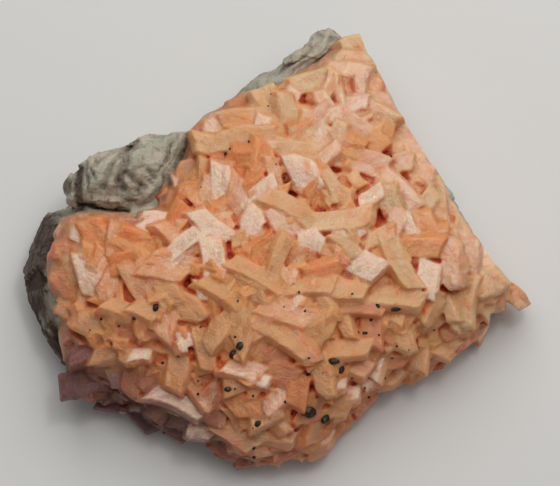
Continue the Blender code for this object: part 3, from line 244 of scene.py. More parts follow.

# Each main crystal: its place in the main view, how far it stands over the general surface, the
# heading of its long side in degrees, its length and width, how far its face leans to the left of
# the heading, the slant of its ends, how much painted pearly sheen its face has, its colour (partly
# painted glow and shade), its sideways bow and the rise of its head end
Crystal = namedtuple(
    "Crystal", "column row lift heading length width lean skew pearl tone bow pitch", defaults=(0.0, 0))
CRYSTALS = [
    # Top tip and upper edge
    (357, 48, 0.2, -60, 7.5, 5.5, 18, 15, 0, BEIGE),
    (343, 47, -1.5, 28, 6.5, 3.5, -20, -10, 0, ORANGE),
    (352, 60, -0.2, -12, 8.5, 4.0, 14, 15, 0, BEIGE, 0.3),
    (350, 70, 1.4, -2, 10.0, 3.0, 28, 20, 0.7, PEACH, 0.7),
    (367, 72, 0.6, 72, 6.5, 3.2, -15, 10, 0, BEIGE, 0.0, 8),
    (360, 90, 1.0, 92, 8.5, 2.4, -24, 15, 0.4, PEACH, 0.2),
    (339, 95, 0.6, 102, 4.8, 2.0, 18, 20, 0.6, PEACH),
    (374, 88, -0.6, 80, 6.5, 3.6, -28, 15, 0, ORANGE),
    (385, 92, 0.3, -62, 8.5, 3.6, 10, 10, 0, BEIGE),
    (356, 103, 0.9, 12, 6.5, 3.0, 22, 20, 0.8, PEACH),
    (375, 116, -0.4, -30, 9.0, 6.0, -14, 15, 0, BEIGE, 0.0, 6),
    (356, 121, 1.2, -38, 11.5, 2.4, 22, 22, 0.4, PEACH, 0.4),
    (326, 101, 0.9, -55, 6.0, 2.8, 16, 20, 0.4, PEACH),
    (294, 95, 0.6, 70, 3.4, 3.0, 10, 10, 1, PEACH),
    (314, 81, -1.0, 16, 10.5, 4.6, 12, -15, 0, BEIGE),
    (289, 113, 0.8, -80, 10.0, 3.8, 22, 15, 0, BEIGE, 0.4),
    (273, 106, -0.2, -60, 9.5, 5.6, -8, 15, 0, BEIGE),
    (314, 117, 1.2, 35, 8.5, 3.6, 18, 20, 0.4, PEACH, -0.4),
    (334, 114, 0.9, 20, 3.2, 2.6, 6, 15, 1, PEACH),
    (338, 137, 0.6, 82, 8.0, 3.2, 16, 15, 0, BEIGE, 0.2),
    (322, 133, 0.4, 60, 4.6, 2.4, -20, 20, 1, PEACH),
    (302, 132, -0.6, 20, 7.0, 4.0, -22, 15, 0, ORANGE),
    # Upper left, under the rock band
    (240, 104, -0.8, 16, 9.5, 3.4, -26, 15, 0, ORANGE, 0.3),
    (240, 118, 0.6, 10, 9.5, 4.0, 18, -15, 0, BEIGE, 0.2),
    (262, 122, 0.4, 80, 3.4, 3.2, 8, 10, 1, PEACH),
    (243, 138, 1.2, 7, 14.5, 4.6, 14, 18, 0, BEIGE, 0.4),
    (215, 126, 0.0, 62, 6.0, 4.2, 14, 15, 1, PEACH),
    (198, 134, -1.2, 50, 6.0, 4.0, -10, 15, 0, ORANGE),
    (213, 146, 1.0, -14, 9.0, 4.4, 16, -20, 0, BEIGE, -0.3),
    (187, 169, 0.8, 12, 8.2, 5.2, 12, 20, 0, BEIGE),
    (206, 169, 0.6, 86, 4.6, 3.4, -8, 10, 0, BEIGE),
    (222, 186, 1.4, 96, 10.8, 4.5, 10, 16, 1, PEACH, 0.2),
    (237, 194, 0.8, 76, 8.2, 3.8, -12, 24, 0.4, PEACH),
    (242, 163, -1.2, 4, 8.0, 6.0, -26, 15, 0, ORANGE),
    (255, 188, 0.2, 30, 5.6, 4.0, -18, 15, 0, ORANGE),
    (258, 193, 1.2, 42, 12.5, 3.2, 20, 20, 1, PEACH),
    (265, 164, -0.6, 78, 9.5, 5.0, -24, 15, 0, ORANGE),
    (274, 170, 0.8, -80, 6.5, 3.0, 14, 15, 0.4, PEACH),
    (277, 149, 0.8, -70, 4.2, 3.0, 10, 15, 1, PEACH),
    (291, 146, 0.6, -10, 7.6, 2.8, 20, 15, 0, BEIGE),
    (207, 195, 0.6, 80, 9.0, 3.8, 12, 15, 0, BEIGE),
    (177, 185, 0.4, -74, 6.0, 2.2, 24, 15, 1, PEACH),
    (188, 202, -0.6, 10, 8.5, 7.0, -16, 20, 0, ORANGE),
    (167, 196, -2.0, 60, 7.0, 4.5, -8, 15, 0, ORANGE),
    # Middle left
    (212, 226, 1.2, -42, 10.5, 4.2, 8, 25, 1, PEACH),
    (252, 223, 1.4, 58, 7.2, 4.8, 6, 18, 1, PEACH),
    (259, 238, 0.6, -52, 4.4, 3.0, -14, 15, 0.4, PEACH),
    (239, 237, 0.6, 22, 4.8, 3.6, 16, 15, 0, BEIGE),
    (226, 214, -1.6, 40, 7.5, 5.0, -22, 15, 0, ORANGE),
    (152, 221, 0.8, -6, 7.8, 6.0, 14, 15, 1, PEACH),
    (151, 200, -0.6, 50, 9.5, 8.0, -4, 0, 0.2, MAUVE),
    (171, 234, 0.9, -46, 8.5, 3.0, 20, 20, 0.4, PEACH),
    (187, 240, 1.4, 38, 11.5, 3.6, 16, 20, 1, PEACH, 0.3),
    (183, 222, -1.6, 70, 8.0, 5.0, -24, 15, 0, ORANGE),
    (168, 266, 1.2, -10, 11.0, 6.4, 10, 24, 0.4, PEACH),
    (132, 242, -0.8, -20, 9.5, 5.5, -18, 20, 0, ORANGE),
    (112, 241, 0.6, 82, 9.0, 2.6, 18, 15, 0.4, PEACH, 0.2),
    (95, 236, -0.8, -60, 8.5, 5.2, -22, 15, 0, ORANGE),
    (76, 234, 0.4, 80, 3.6, 3.0, 8, 10, 1, PEACH),
    (84, 221, -0.6, 10, 5.0, 3.4, 10, 15, 0, BEIGE),
    (59, 233, -0.4, 60, 4.2, 3.2, 12, 15, 0, BEIGE),
    (63, 252, -1.4, -30, 5.6, 4.6, -18, 15, 0, MAUVE),
    (55, 258, 0.2, -60, 5.0, 1.8, 20, 15, 0.4, PEACH),
    (88, 275, 1.4, 106, 10.0, 5.4, 6, 18, 1, PEACH),
    (108, 285, 0.8, 62, 7.4, 4.0, -8, 18, 0.4, PEACH),
    (141, 281, 1.2, 118, 9.0, 7.2, 12, 16, 0.4, PEACH),
    (102, 262, -0.8, 70, 6.0, 4.5, -24, 15, 0, ORANGE),
    (125, 262, -0.2, 25, 7.0, 4.2, -14, 15, 0, ORANGE),
    # Lower left
    (121, 307, 1.0, -22, 8.0, 3.4, 22, 24, 0, BEIGE, 0.3),
    (146, 309, 1.0, -24, 7.0, 4.0, 18, 20, 0, BEIGE, 0.3),
    (81, 298, 0.4, 88, 3.4, 2.0, 14, 10, 0.4, PEACH),
    (68, 313, 0.4, -32, 7.2, 4.0, -12, 18, 0, BEIGE, 0.3),
    (56, 288, 0.2, -52, 4.6, 2.0, 22, 15, 0.4, PEACH),
    (64, 286, -1.0, -50, 8.0, 4.0, -20, 15, 0, MAUVE),
    (71, 335, 0.2, 2, 3.6, 1.8, 26, 15, 0.4, PEACH),
    (81, 352, 0.6, 24, 6.2, 4.2, 8, 20, 0, MAUVE),
    (95, 325, -0.2, -28, 9.0, 5.8, -16, 18, 0, BEIGE),
    (123, 350, 0.6, 86, 6.8, 2.8, 22, 15, 0, BEIGE),
    (108, 354, 0.2, 6, 7.2, 4.6, -18, 24, 0, BEIGE),
    (140, 354, 1.2, 4, 6.8, 2.8, 28, 18, 1, PEACH, 0.2),
    (147, 333, -0.2, 20, 5.0, 4.0, -20, 15, 0, MAUVE),
    (125, 327, -2.0, -30, 8.0, 5.0, -24, 15, 0, MAUVE),
    (167, 322, 0.8, 76, 8.4, 4.2, 10, 20, 0.4, PEACH),
    (168, 293, 0.8, -62, 7.4, 5.0, -10, 20, 0, BEIGE),
    (190, 307, 0.6, -60, 8.4, 5.0, -16, 22, 0, BEIGE),
    (202, 290, 0.8, -70, 5.0, 2.6, 12, 18, 1, PEACH),
    (213, 259, 1.4, 96, 9.6, 5.2, 8, 10, 1, PEACH),
    # Middle
    (258, 274, 1.6, -29, 15.0, 3.7, 26, 20, 0, BEIGE, 0.5),
    (224, 291, 1.4, -32, 12.0, 4.0, 24, 20, 0, BEIGE, 0.4),
    (280, 258, 1.8, 67, 10.8, 3.4, -20, 15, 0, BEIGE, 0.3),
    (256, 257, -0.6, 32, 10.0, 6.6, -14, 18, 0, ORANGE),
    (252, 292, 0.8, -68, 5.8, 4.2, -14, 20, 0, BEIGE),
    (287, 311, 1.0, -20, 12.6, 5.4, 14, 22, 0.4, PEACH, 0.4),
    (298, 300, 1.3, 20, 3.8, 3.2, 8, 10, 1, PEACH),
    (219, 330, 1.4, 52, 11.5, 4.2, 14, 15, 0, BEIGE, 0.3),
    (204, 349, 1.2, -78, 11.0, 3.8, -10, 15, 0, BEIGE, 0.2),
    (186, 340, 0.8, -62, 5.0, 3.0, 14, 18, 1, PEACH),
    (243, 325, 1.2, 64, 10.0, 7.4, 10, 30, 0, BEIGE),
    (261, 326, 1.2, 30, 5.0, 4.4, 6, 24, 0.4, PEACH),
    (283, 336, 1.6, -33, 13.0, 3.5, 20, 20, 0, BEIGE, 0.3),
    (298, 344, 1.4, -54, 11.0, 3.4, -16, 20, 0.4, PEACH, 0.3),
    (320, 330, 1.6, 34, 10.5, 5.0, -22, 15, 0, BEIGE, -1.6),
    (323, 305, 1.2, -64, 7.0, 3.0, -22, 15, 0, BEIGE, 0.4),
    (311, 286, 1.4, 3, 12.0, 3.3, 26, 20, 0, BEIGE, 0.3),
    (347, 290, 1.4, -4, 9.0, 3.6, 22, 15, 0, BEIGE),
    (320, 274, 0.4, 16, 9.6, 3.6, -26, 15, 0, ORANGE, 0.4),
    (303, 262, -1.0, 26, 7.6, 5.0, -18, 15, 0, MAUVE),
    (291, 274, 0.8, 80, 3.2, 2.4, 16, 15, 0.4, PEACH),
    (284, 222, 1.0, -62, 8.6, 5.4, 8, 20, 0.8, PEACH),
    (303, 172, 1.6, 112, 9.0, 6.4, 6, 22, 1, PEACH),
    (333, 186, 1.4, -66, 9.4, 2.7, 24, 20, 0, BEIGE, 0.3),
    (322, 192, -0.8, 62, 8.0, 5.5, -28, 20, 0, ORANGE),
    (344, 198, 0.4, 80, 5.0, 2.6, 14, 15, 0, BEIGE),
    (291, 207, 1.8, -30, 14.0, 4.0, 20, 20, 0, BEIGE, 0.6),
    (341, 217, 1.8, 9, 14.4, 4.4, 22, 20, 0, BEIGE, -0.8),
    (308, 238, 1.3, 22, 5.2, 3.4, 8, 15, 1, PEACH),
    (318, 242, 1.3, 70, 5.4, 2.9, -6, 15, 1, PEACH),
    (346, 243, 1.4, -43, 9.6, 3.2, 22, 20, 0, BEIGE, 0.3),
    (368, 266, 1.6, 45, 6.4, 6.2, 4, -14, 1, PEACH),
    (350, 231, 1.2, -32, 5.8, 4.0, 10, 18, 1, PEACH),
    (325, 156, 0.8, 40, 9.5, 3.0, 18, 18, 0.6, PEACH, -0.3),
    (349, 148, -0.6, -20, 6.0, 4.0, -26, 15, 0, ORANGE),
    (364, 161, 0.8, -14, 10.6, 5.4, 16, 20, 0.4, PEACH, 0.4),
    (371, 197, 1.2, 36, 7.0, 3.4, 10, 18, 1, PEACH),
    (398, 190, 1.4, -45, 12.5, 4.4, 12, 15, 0.8, PEACH),
    (387, 202, 0.6, -74, 8.4, 4.0, -14, 15, 0, BEIGE),
    (297, 255, 0.2, 60, 6.0, 3.6, 14, 15, 0, BEIGE),
    (333, 257, 0.0, -50, 8.0, 4.5, -24, 15, 0, ORANGE),
    # Right of the middle
    (401, 262, 1.8, -62, 14.5, 4.3, 20, 20, 0, BEIGE, -0.8),
    (397, 296, 1.8, -6, 13.0, 4.0, 24, 20, 0, BEIGE, -0.7),
    (391, 272, -2.4, 80, 8.0, 6.0, 20, 15, 0, ORANGE),
    (379, 236, 0.8, 24, 8.0, 3.4, 18, 15, 0, BEIGE, 0.3),
    (396, 221, 0.8, 60, 6.4, 4.2, 12, 15, 0.6, PEACH),
    (411, 227, 1.3, -66, 8.6, 2.6, 16, 18, 1, PEACH),
    (426, 229, 0.6, -72, 8.8, 4.6, -14, 18, 0, ORANGE),
    (420, 248, 1.2, -3, 9.8, 4.4, -12, 15, 0, ORANGE),
    (427, 279, 1.6, 82, 8.6, 4.6, 4, 14, 1, PEACH),
    (449, 265, 1.0, 88, 12.0, 3.9, 14, 15, 0.4, PEACH, 0.3),
    (428, 304, 1.2, 62, 8.6, 2.8, 20, 15, 0, BEIGE, -0.3),
    (446, 306, 1.2, -67, 9.0, 2.9, -18, 15, 0, BEIGE, 0.3),
    (465, 297, 1.6, 81, 14.5, 4.4, 14, 15, 0, BEIGE, 0.7),
    (470, 255, 0.8, 84, 9.6, 4.0, 10, 15, 0.6, PEACH),
    (485, 261, 1.0, -74, 9.6, 4.2, 12, 15, 0.8, PEACH),
    (478, 244, -0.2, -40, 6.0, 4.0, 12, 15, 1, PEACH),
    (488, 282, 0.2, -50, 7.6, 6.6, 4, 10, 0, BEIGE),
    (515, 293, 3.4, -48, 9.6, 5.8, 6, 2, 0.4, BEIGE, 0.4),
    (494, 301, 0.4, 6, 5.0, 3.4, -18, 15, 0, MAUVE),
    (486, 306, 1.0, 70, 5.0, 3.4, 8, 15, 0, BEIGE),
    (482, 324, 1.6, 58, 7.0, 3.4, 10, 15, 1, PEACH),
    (463, 338, 1.0, 36, 7.6, 4.8, -12, 18, 0, MAUVE),
    (440, 345, 1.0, -20, 7.4, 4.8, 8, 20, 0, BEIGE),
    (446, 330, -1.0, -40, 5.6, 4.0, -22, 15, 0, MAUVE),
    (436, 318, -2.0, 30, 6.0, 4.5, -18, 15, 0, MAUVE),
    # Right edge
    (403, 134, 0.6, -60, 11.0, 6.0, 14, 15, 0.4, PEACH),
    (388, 115, 0.8, -64, 9.6, 4.0, 16, 15, 0.4, PEACH),
    (416, 157, 0.4, -56, 10.0, 5.6, -8, 15, 0.4, PEACH),
    (403, 163, 1.0, 8, 7.0, 3.6, 18, 15, 0.4, PEACH),
    (425, 179, 0.4, 78, 7.0, 3.4, 14, 15, 0.4, PEACH),
    (437, 190, 0.2, -70, 7.0, 3.4, -10, 15, 0, BEIGE),
    (426, 203, 0.8, 58, 6.6, 3.6, 16, 15, 0, BEIGE),
    (441, 214, 0.6, -76, 9.6, 3.6, 12, 15, 0, BEIGE),
    (456, 219, 0.2, -66, 8.6, 4.0, -12, 15, 0, BEIGE),
    (459, 237, 0.6, 70, 6.6, 4.0, 10, 15, 0, BEIGE),
    (436, 240, 0.2, 10, 6.0, 4.0, -18, 15, 0, ORANGE),
    (386, 134, 0.6, 72, 7.6, 3.4, -16, 15, 0, ORANGE),
    (371, 140, 0.4, -30, 8.0, 4.0, 12, 15, 0, ORANGE),
    # Lower middle
    (341, 348, 1.8, 4, 14.0, 4.0, 22, 20, 0, BEIGE, -0.5),
    (321, 372, 1.6, -80, 13.0, 4.2, -14, 15, 0, BEIGE, 0.4),
    (371, 326, 0.8, 90, 9.4, 4.8, 10, 15, 0, MAUVE),
    (344, 325, 0.8, -72, 6.6, 2.8, -22, 15, 0, BEIGE),
    (360, 306, 0.8, -2, 9.4, 3.4, 18, 20, 0, MAUVE),
    (404, 332, 0.8, -76, 10.6, 4.0, 12, 15, 0, BEIGE),
    (409, 312, 0.4, 60, 7.0, 4.2, -20, 15, 0, ORANGE),
    (388, 325, -1.8, 70, 8.0, 4.2, -24, 15, 0, MAUVE),
    (388, 343, 0.8, -50, 4.8, 2.8, 14, 15, 0, BEIGE),
    (399, 357, 0.6, 12, 7.0, 5.0, -8, 18, 0, MAUVE),
    (419, 355, 0.8, 84, 6.8, 4.0, 10, 15, 0, BEIGE),
    (437, 362, 0.6, 12, 6.4, 4.2, -14, 18, 0, MAUVE),
    (376, 366, 1.4, 76, 8.0, 2.4, 16, 15, 1, PEACH),
    (366, 381, 1.2, 52, 4.4, 2.8, 10, 15, 1, PEACH),
    (358, 365, 0.6, -20, 6.4, 4.2, 12, 15, 0.4, PEACH),
    (390, 374, 0.8, 4, 6.8, 5.0, 8, 15, 0, BEIGE),
    (349, 393, 1.4, 12, 5.2, 3.2, 14, 15, 1, PEACH),
    (337, 383, 0.9, 4, 4.4, 2.4, 16, 15, 1, PEACH),
    (337, 407, 1.0, 10, 7.4, 4.6, -8, 18, 0, BEIGE),
    (338, 374, -0.8, 10, 5.0, 3.4, -18, 15, 0, ORANGE),
    (363, 400, 0.8, 50, 7.2, 4.2, -12, 15, 0, MAUVE),
    (338, 424, 0.6, 48, 6.0, 3.8, -10, 15, 0, MAUVE),
    (321, 436, 1.0, 22, 7.4, 4.2, 12, 18, 0.6, PEACH),
    (302, 437, 0.8, -60, 4.8, 3.2, -10, 15, 0, BEIGE),
    (280, 435, 1.2, -6, 8.2, 3.0, 22, 18, 0, BEIGE, 0.3),
    (287, 449, 0.8, 20, 6.8, 4.2, -10, 18, 0, MAUVE),
    (257, 445, 1.2, -58, 7.0, 3.4, 8, 20, 0.4, PEACH),
    (241, 433, 1.0, -32, 10.4, 6.8, -6, 20, 0, BEIGE),
    (240, 406, 0.6, -52, 7.2, 5.0, -18, 26, 0, ORANGE),
    (219, 411, -0.6, 82, 8.0, 4.2, -14, 15, 0, MAUVE),
    (203, 428, 3.2, -10, 7.2, 5.0, 6, 16, 0.8, PEACH),
    (226, 450, 0.6, -30, 7.0, 4.0, -14, 18, 0, MAUVE),
    (250, 458, 0.6, 4, 6.4, 4.2, -10, 20, 0, MAUVE),
    (215, 393, 0.2, 46, 7.4, 5.0, -14, 18, 0, MAUVE),
    (196, 388, 1.2, -54, 13.0, 3.0, 18, 18, 0, BEIGE, 0.3),
    (180, 399, 3.8, -21, 14.5, 5.0, 6, 24, 0.8, PEACH, 0.8),
    (176, 366, 1.4, 82, 11.0, 4.2, 12, 15, 0, BEIGE),
    (155, 380, 0.0, 60, 8.4, 5.0, -18, 15, 0, MAUVE),
    (115, 375, 0.8, -68, 7.4, 3.6, -8, 15, 0, BEIGE),
    (133, 377, 0.8, 76, 9.0, 4.8, 10, 20, 0, ORANGE),
    (244, 369, 1.2, -16, 8.8, 4.0, 16, 22, 0.7, PEACH),
    (261, 380, 1.0, -12, 4.6, 2.8, 12, 15, 1, PEACH),
    (240, 384, 0.6, 20, 8.0, 4.2, -14, 15, 0, BEIGE),
    (275, 400, 1.2, 42, 7.4, 4.0, 12, 18, 0.6, PEACH),
    (280, 375, -1.4, -22, 7.6, 5.4, -20, 15, 0, MAUVE),
    (280, 356, -1.8, 30, 8.0, 5.4, -22, 15, 0, MAUVE),
    (299, 390, 0.8, 80, 8.4, 4.4, -10, 15, 0, ORANGE),
    (267, 412, 0.6, 26, 8.6, 5.0, 10, 18, 0, BEIGE),
    (281, 421, 1.2, -50, 6.8, 2.2, 20, 18, 0, BEIGE),
    (306, 413, -1.0, 12, 7.6, 5.0, -14, 15, 0, MAUVE),
    (264, 350, -1.6, 60, 7.0, 5.0, -18, 15, 0, MAUVE),
    (229, 350, -0.8, -70, 7.0, 4.4, -20, 15, 0, ORANGE),
    # Low crystals on the lower left flank
    (86, 381, 5.0, 12, 11.5, 5.6, 4, 6, 0, MAUVE, 0.5, -8),
    (110, 401, 2.0, -10, 5.4, 4.0, 8, 15, 0, MAUVE),
    (147, 415, 2.0, -46, 8.4, 6.2, 8, 20, 0, MAUVE),
    (176, 425, 1.4, -30, 7.4, 4.8, -8, 15, 0, MAUVE),
    (160, 405, 0.4, 70, 8.0, 5.0, -12, 15, 0, MAUVE),
    (99, 363, -2.0, 10, 6.5, 4.2, -16, 15, 0, MAUVE),
]

# Crystal form: worn edge, fall of the face towards its ends, narrowing, the foot and the twist
EDGE_WEAR = 0.2
CROWN = 0.7
END_TAPER = 0.05
FLARE = 0.3
WAIST = 0.35
FOOT_SLANT = 1.5
LONG_CRYSTAL = 11.0
STRAIGHT_BOW = 0.3
SADDLE_RISE = 0.30
TWIST = 0.16
SIDE_WAVE = 0.07
STEP_ALONG = 1.5
STEP_ACROSS = 1.3
FORM_SEED = 21
LENGTH_GROWTH = 1.04
WIDTH_GROWTH = 1.08
LIFT_SHARE = 0.6
SKEW_GROWTH = 1.25
END_POINTS = (0.0, 0.0, 0.0, 0.3, 0.6)

# Thin plates that grow on the sides of a crystal: length, width, place along and across as shares
# of the crystal's, drop below its face in millimetres, and turn in degrees
PLATE_COUNTS = (1, 1, 2, 2)
PLATE_LENGTHS = (0.34, 0.72)
PLATE_WIDTHS = (0.34, 0.60)
PLATE_ALONG = 0.30
PLATE_ACROSS = (0.22, 0.46)
PLATE_DROPS = (0.10, 0.85)
PLATE_TURN = 7.0

# Crystals on the free flanks, in tiers around the specimen
FLANK_FROM = 204.0
FLANK_TO = 352.0
FLANK_TIERS = [(10.5, 15), (17.0, 14)]
FLANK_JITTER = 1.5
FLANK_STAND = 1.4
FLANK_SCATTER = 0.5
FLANK_LENGTHS = (6.5, 9.5)
FLANK_WIDTHS = (0.4, 0.7)
FLANK_SLANT = (0.5, -0.5)
FLANK_PLACES = (0.15, 0.85)
FLANK_SKEW = 18
# How much painted pearly sheen the flank crystals have
FLANK_PEARL = 0.1
FLANK_SEED = 7
OUTSIDE = 120.0
SEARCH_STEPS = 12

# Small crystals between the listed ones, scattered over the layer: the shapes have a skew and a bow
INFILL_DENSITY = 0.022
INFILL_SHAPES = [(0.25, 0.10), (-0.30, 0.05), (0.10, 0.22)]
INFILL_SMALLEST = (2.4, 1.4, 2.0)
INFILL_LARGEST = (6.6, 3.2, 3.8)
INFILL_TILT = math.radians(24.0)
INFILL_GRID = (4.0, 2.4, 3.0)
# Most painted pearly sheen that a small crystal gets by chance
INFILL_PEARL = 0.5
TOGETHER_BARE = 0.7
INFILL_SEED = 5

# Fine mesh of the crust: its step, its rounds of smoothing and the most triangles
CRUST_VOXEL = 0.34
SMOOTH_ROUNDS = 1
FUSED_ROUNDS = 3
CRUST_TRIANGLES = 160000
CUTTER_TRIANGLES = 50000
TONE_ROUNDS = 1
FUSED_TONE_ROUNDS = 4

# How open a point is: rays, their reach, and how far over the surface they start; it sets the painted shade
# and glow by the crevices
OPEN_RAYS = 14
OPEN_REACH = 5.0
OPEN_START = 0.05

# How deep a point lies in the crust: bearings around it, the share of the way out where that ends,
# and how much less it counts by the margins and where the crystals have grown into one another;
# it sets the painted shade deep in the crust
BEARING_STEPS = 721
SUNK_EDGE = 0.97
MARGIN_SHALLOW = 0.8
TOGETHER_SHALLOW = 0.4

# Size in metres of the block that stands for the space below
BLOCK_SIZE = 0.3

# Colours in the crystals: pale and greyed mottling of their own colour, a painted orange glow, painted
# orange-red shade deep in the crust, a painted pearly white sheen and painted shade in the crevices
PALE = shade(232, 170, 106)
GREYED = shade(215, 155, 93)
PAINTED_GLOW = shade(228, 114, 44)
PAINTED_DEEP_SHADE = shade(206, 88, 38)
PAINTED_PEARL_SHEEN = shade(250, 220, 196)
PAINTED_CREVICE_SHADE = shade(188, 54, 20)

# Light inside the crystals: how far each colour goes, its depth in metres, and the refraction
LIGHT_REACH = (1.0, 0.36, 0.16)
LIGHT_DEPTH = 0.0030
REFRACTION = 1.6

# Stretch of the streaks and chips along a crystal, across it and down its sides
LONG_WAY = (0.32, 1.1, 1.0)

# Colours, mesh step and broken surface of the rock; its dark colour is partly its own streaks and stains
# and partly painted shade in its hollows and along the crack under the lump
ROCK_PALE = shade(194, 182, 162)
ROCK_GREEN = shade(172, 172, 150)
ROCK_DARK = shade(74, 55, 48)
ROCK_WHITE = shade(206, 200, 186)
ROCK_VOXEL = 0.62

# Relief of the rock seen in the main view: places along a stroke, the inner and the outer reach in
# view steps, its height in millimetres and how dark it is, partly the rock's own staining and partly
# painted shadow, as along the crack under the lump
STROKES = [
    ([(136, 145), (127, 156), (122, 169), (119, 181), (123, 189)], (1.2, 6.0), -2.3, 0.6),
    ([(131, 148), (123, 152), (111, 167), (105, 182), (104, 189)], (0.8, 4.5), -1.5, 0.5),
    ([(118, 163), (112, 177), (109, 189)], (0.5, 4.5), 0.8, -0.5),
    ([(133, 156), (137, 166), (140, 176)], (1.0, 6.0), 0.9, -0.7),
    ([(126, 172), (131, 176), (137, 182), (145, 187)], (1.0, 5.0), -0.8, 0.7),
    ([(147, 170), (155, 178)], (0.5, 3.0), -0.7, 0.7),
    ([(146, 178), (153, 184)], (0.5, 2.5), -0.5, 0.6),
    ([(169, 146), (171, 157), (165, 164)], (0.4, 2.2), -0.6, 0.7),
    ([(80, 170), (78, 188), (81, 206)], (2.2, 6.0), -1.7, 1.0),
    ([(86, 168), (88, 180), (91, 196)], (0.5, 2.4), -0.6, 0.7),
    ([(91, 168), (95, 179)], (0.5, 2.2), -0.5, 0.7),
    ([(66, 180), (70, 190)], (1.5, 6.0), 0.3, 0.85),
    ([(86, 204), (100, 207), (112, 209), (128, 212)], (0.8, 2.6), -2.4, 1.0),
    ([(86, 212), (110, 213), (130, 214)], (0.5, 3.0), 0.5, -0.7),
    ([(182, 132), (178, 148), (168, 168)], (2.0, 10.0), 0.0, -0.3),
    ([(189, 126), (187, 150), (172, 170), (152, 196), (140, 206)], (1.0, 5.0), 0.0, 0.55),
    ([(44, 232), (32, 258), (26, 290), (34, 325), (50, 352), (66, 374)], (12.0, 24.0), 0.0, 0.95),
    ([(38, 315), (50, 336)], (1.0, 4.0), 0.4, -0.4),
    ([(56, 222), (51, 236), (46, 256), (46, 283), (53, 303), (58, 320), (60, 345)], (5.0, 12.0), -2.4, 0.1),
    ([(234, 95), (256, 88), (275, 84), (305, 64), (322, 55)], (0.3, 1.6), -0.3, 0.4),
    ([(258, 84), (280, 78), (300, 68), (316, 58), (326, 50)], (2.5, 7.0), 1.6, -0.3),
    ([(246, 86), (264, 78), (286, 70), (302, 58), (312, 48)], (0.3, 1.4), -0.3, 0.35),
    ([(318, 34), (330, 40)], (1.0, 4.0), -0.6, 0.5),
    ([(330, 30), (322, 48)], (0.6, 3.0), 0.6, -0.6),
]
FACET_SIZES = [(9.0, 0.12), (3.2, 0.13)]
FACET_DRAW = 7.3
ROCK_ROUGHNESS = 0.42

# Sulphide grains: colours, how deep they sit, how much wider they are made, and their worn edge
GRAIN_DARK = shade(42, 32, 24)
GRAIN_BRASSY = shade(92, 72, 44)
GRAIN_SINK = 0.15
GRAIN_GROWTH = 1.25
GRAIN_EDGE = 0.10
JOINED = 0.01

# Small sulphide specks: places in the main view and their widths in view steps
SPECKS = [
    (226, 154, 5), (101, 319, 4), (134, 318, 5), (308, 374, 5), (254, 457, 5), (254, 448, 4),
    (163, 363, 4), (198, 394, 4), (366, 333, 4), (371, 320, 4), (299, 292, 3), (285, 402, 4),
    (378, 306, 5), (364, 333, 4), (230, 149, 3), (434, 330, 3), (201, 327, 3), (271, 94, 2),
    (268, 106, 2), (249, 142, 3), (276, 164, 2), (284, 178, 3), (325, 211, 3), (391, 157, 3),
    (201, 187, 2), (369, 397, 3), (119, 326, 3), (90, 330, 2), (178, 356, 3), (238, 301, 3),
    (235, 337, 3), (309, 358, 3), (292, 414, 3), (385, 378, 3), (352, 378, 3), (365, 388, 3),
    (253, 396, 3), (253, 428, 2), (235, 389, 3), (198, 381, 3), (352, 294, 3), (358, 332, 3),
    (379, 335, 3), (397, 346, 3), (409, 350, 2), (392, 358, 3), (323, 373, 2), (305, 311, 3),
    (284, 307, 2),
]
SPECK_SEED = 3
SPECK_FLATNESS = 0.75
SPECK_SINK = 0.05
SPECK_GROWTH = 1.2
SPECK_ROUGHNESS = 0.35

# Studio: floor, surroundings, and the lights with their power, size and direction
FLOOR_SIZE = 4.0
FLOOR_COLOUR = (0.72, 0.71, 0.69, 1.0)
FLOOR_ROUGHNESS = 0.9
STUDIO_COLOUR = (0.80, 0.79, 0.77, 1.0)
STUDIO_STRENGTH = 0.27
LIGHTS = [("key", 3.95, 0.75, (0.12, 0.50, 1.0)), ("glint", 0.55, 0.10, (0.20, 0.20, 1.0))]
LIGHT_DISTANCE = 0.70
NEAREST_SEEN = 0.05

# Field that holds the values of each kind of attribute
FIELDS = {"FLOAT": "value", "INT": "value", "FLOAT_VECTOR": "vector", "FLOAT_COLOR": "color"}


def in_view(column, row, height):
    """Point at this height that shows at this place in the main view."""
    right = (column - VIEW_COLUMN) * VIEW_STEP
    up = (VIEW_ROW - row) * VIEW_STEP
    ray = AIM + right * VIEW_RIGHT + up * VIEW_UP - EYE
    return EYE + ray * ((height - EYE.z) / ray.z) + CENTRING


def seen_at(points):
    """Columns and rows of the main view where these points show."""
    offsets = points - np.array(EYE + CENTRING)
    nearness = VIEW_DISTANCE / -(offsets @ np.array(TO_EYE))
    columns = VIEW_COLUMN + offsets @ np.array(VIEW_RIGHT) * nearness / VIEW_STEP
    rows = VIEW_ROW - offsets @ np.array(VIEW_UP) * nearness / VIEW_STEP
    return columns, rows


CORE = in_view(CORE_PLACE[0], CORE_PLACE[1], OUTLINE_HEIGHT)


class Outline:
    """Closed outline around an upright core line, read as a reach at any bearing."""

    def __init__(self, places, heights, core):
        self.corners = []
        for column, row in places:
            first = in_view(column, row, OUTLINE_HEIGHT) - core
            height = heights(math.atan2(first.y, first.x))
            self.corners.append((in_view(column, row, height) - core).to_2d())

    def reach(self, bearing):
        """Reach of the outline along one bearing."""
        ahead = Vector((math.cos(bearing), math.sin(bearing)))
        reach = 0.0
        for start, end in zip(self.corners, self.corners[1:] + self.corners[:1]):
            side = end - start
            spread = ahead.x * side.y - ahead.y * side.x
            if abs(spread) < 1e-9:
                continue
            share = (ahead.y * start.x - ahead.x * start.y) / spread
            if -1e-6 <= share <= 1.0 + 1e-6:
                reach = max(reach, ahead.dot(start + share * side))
        return reach


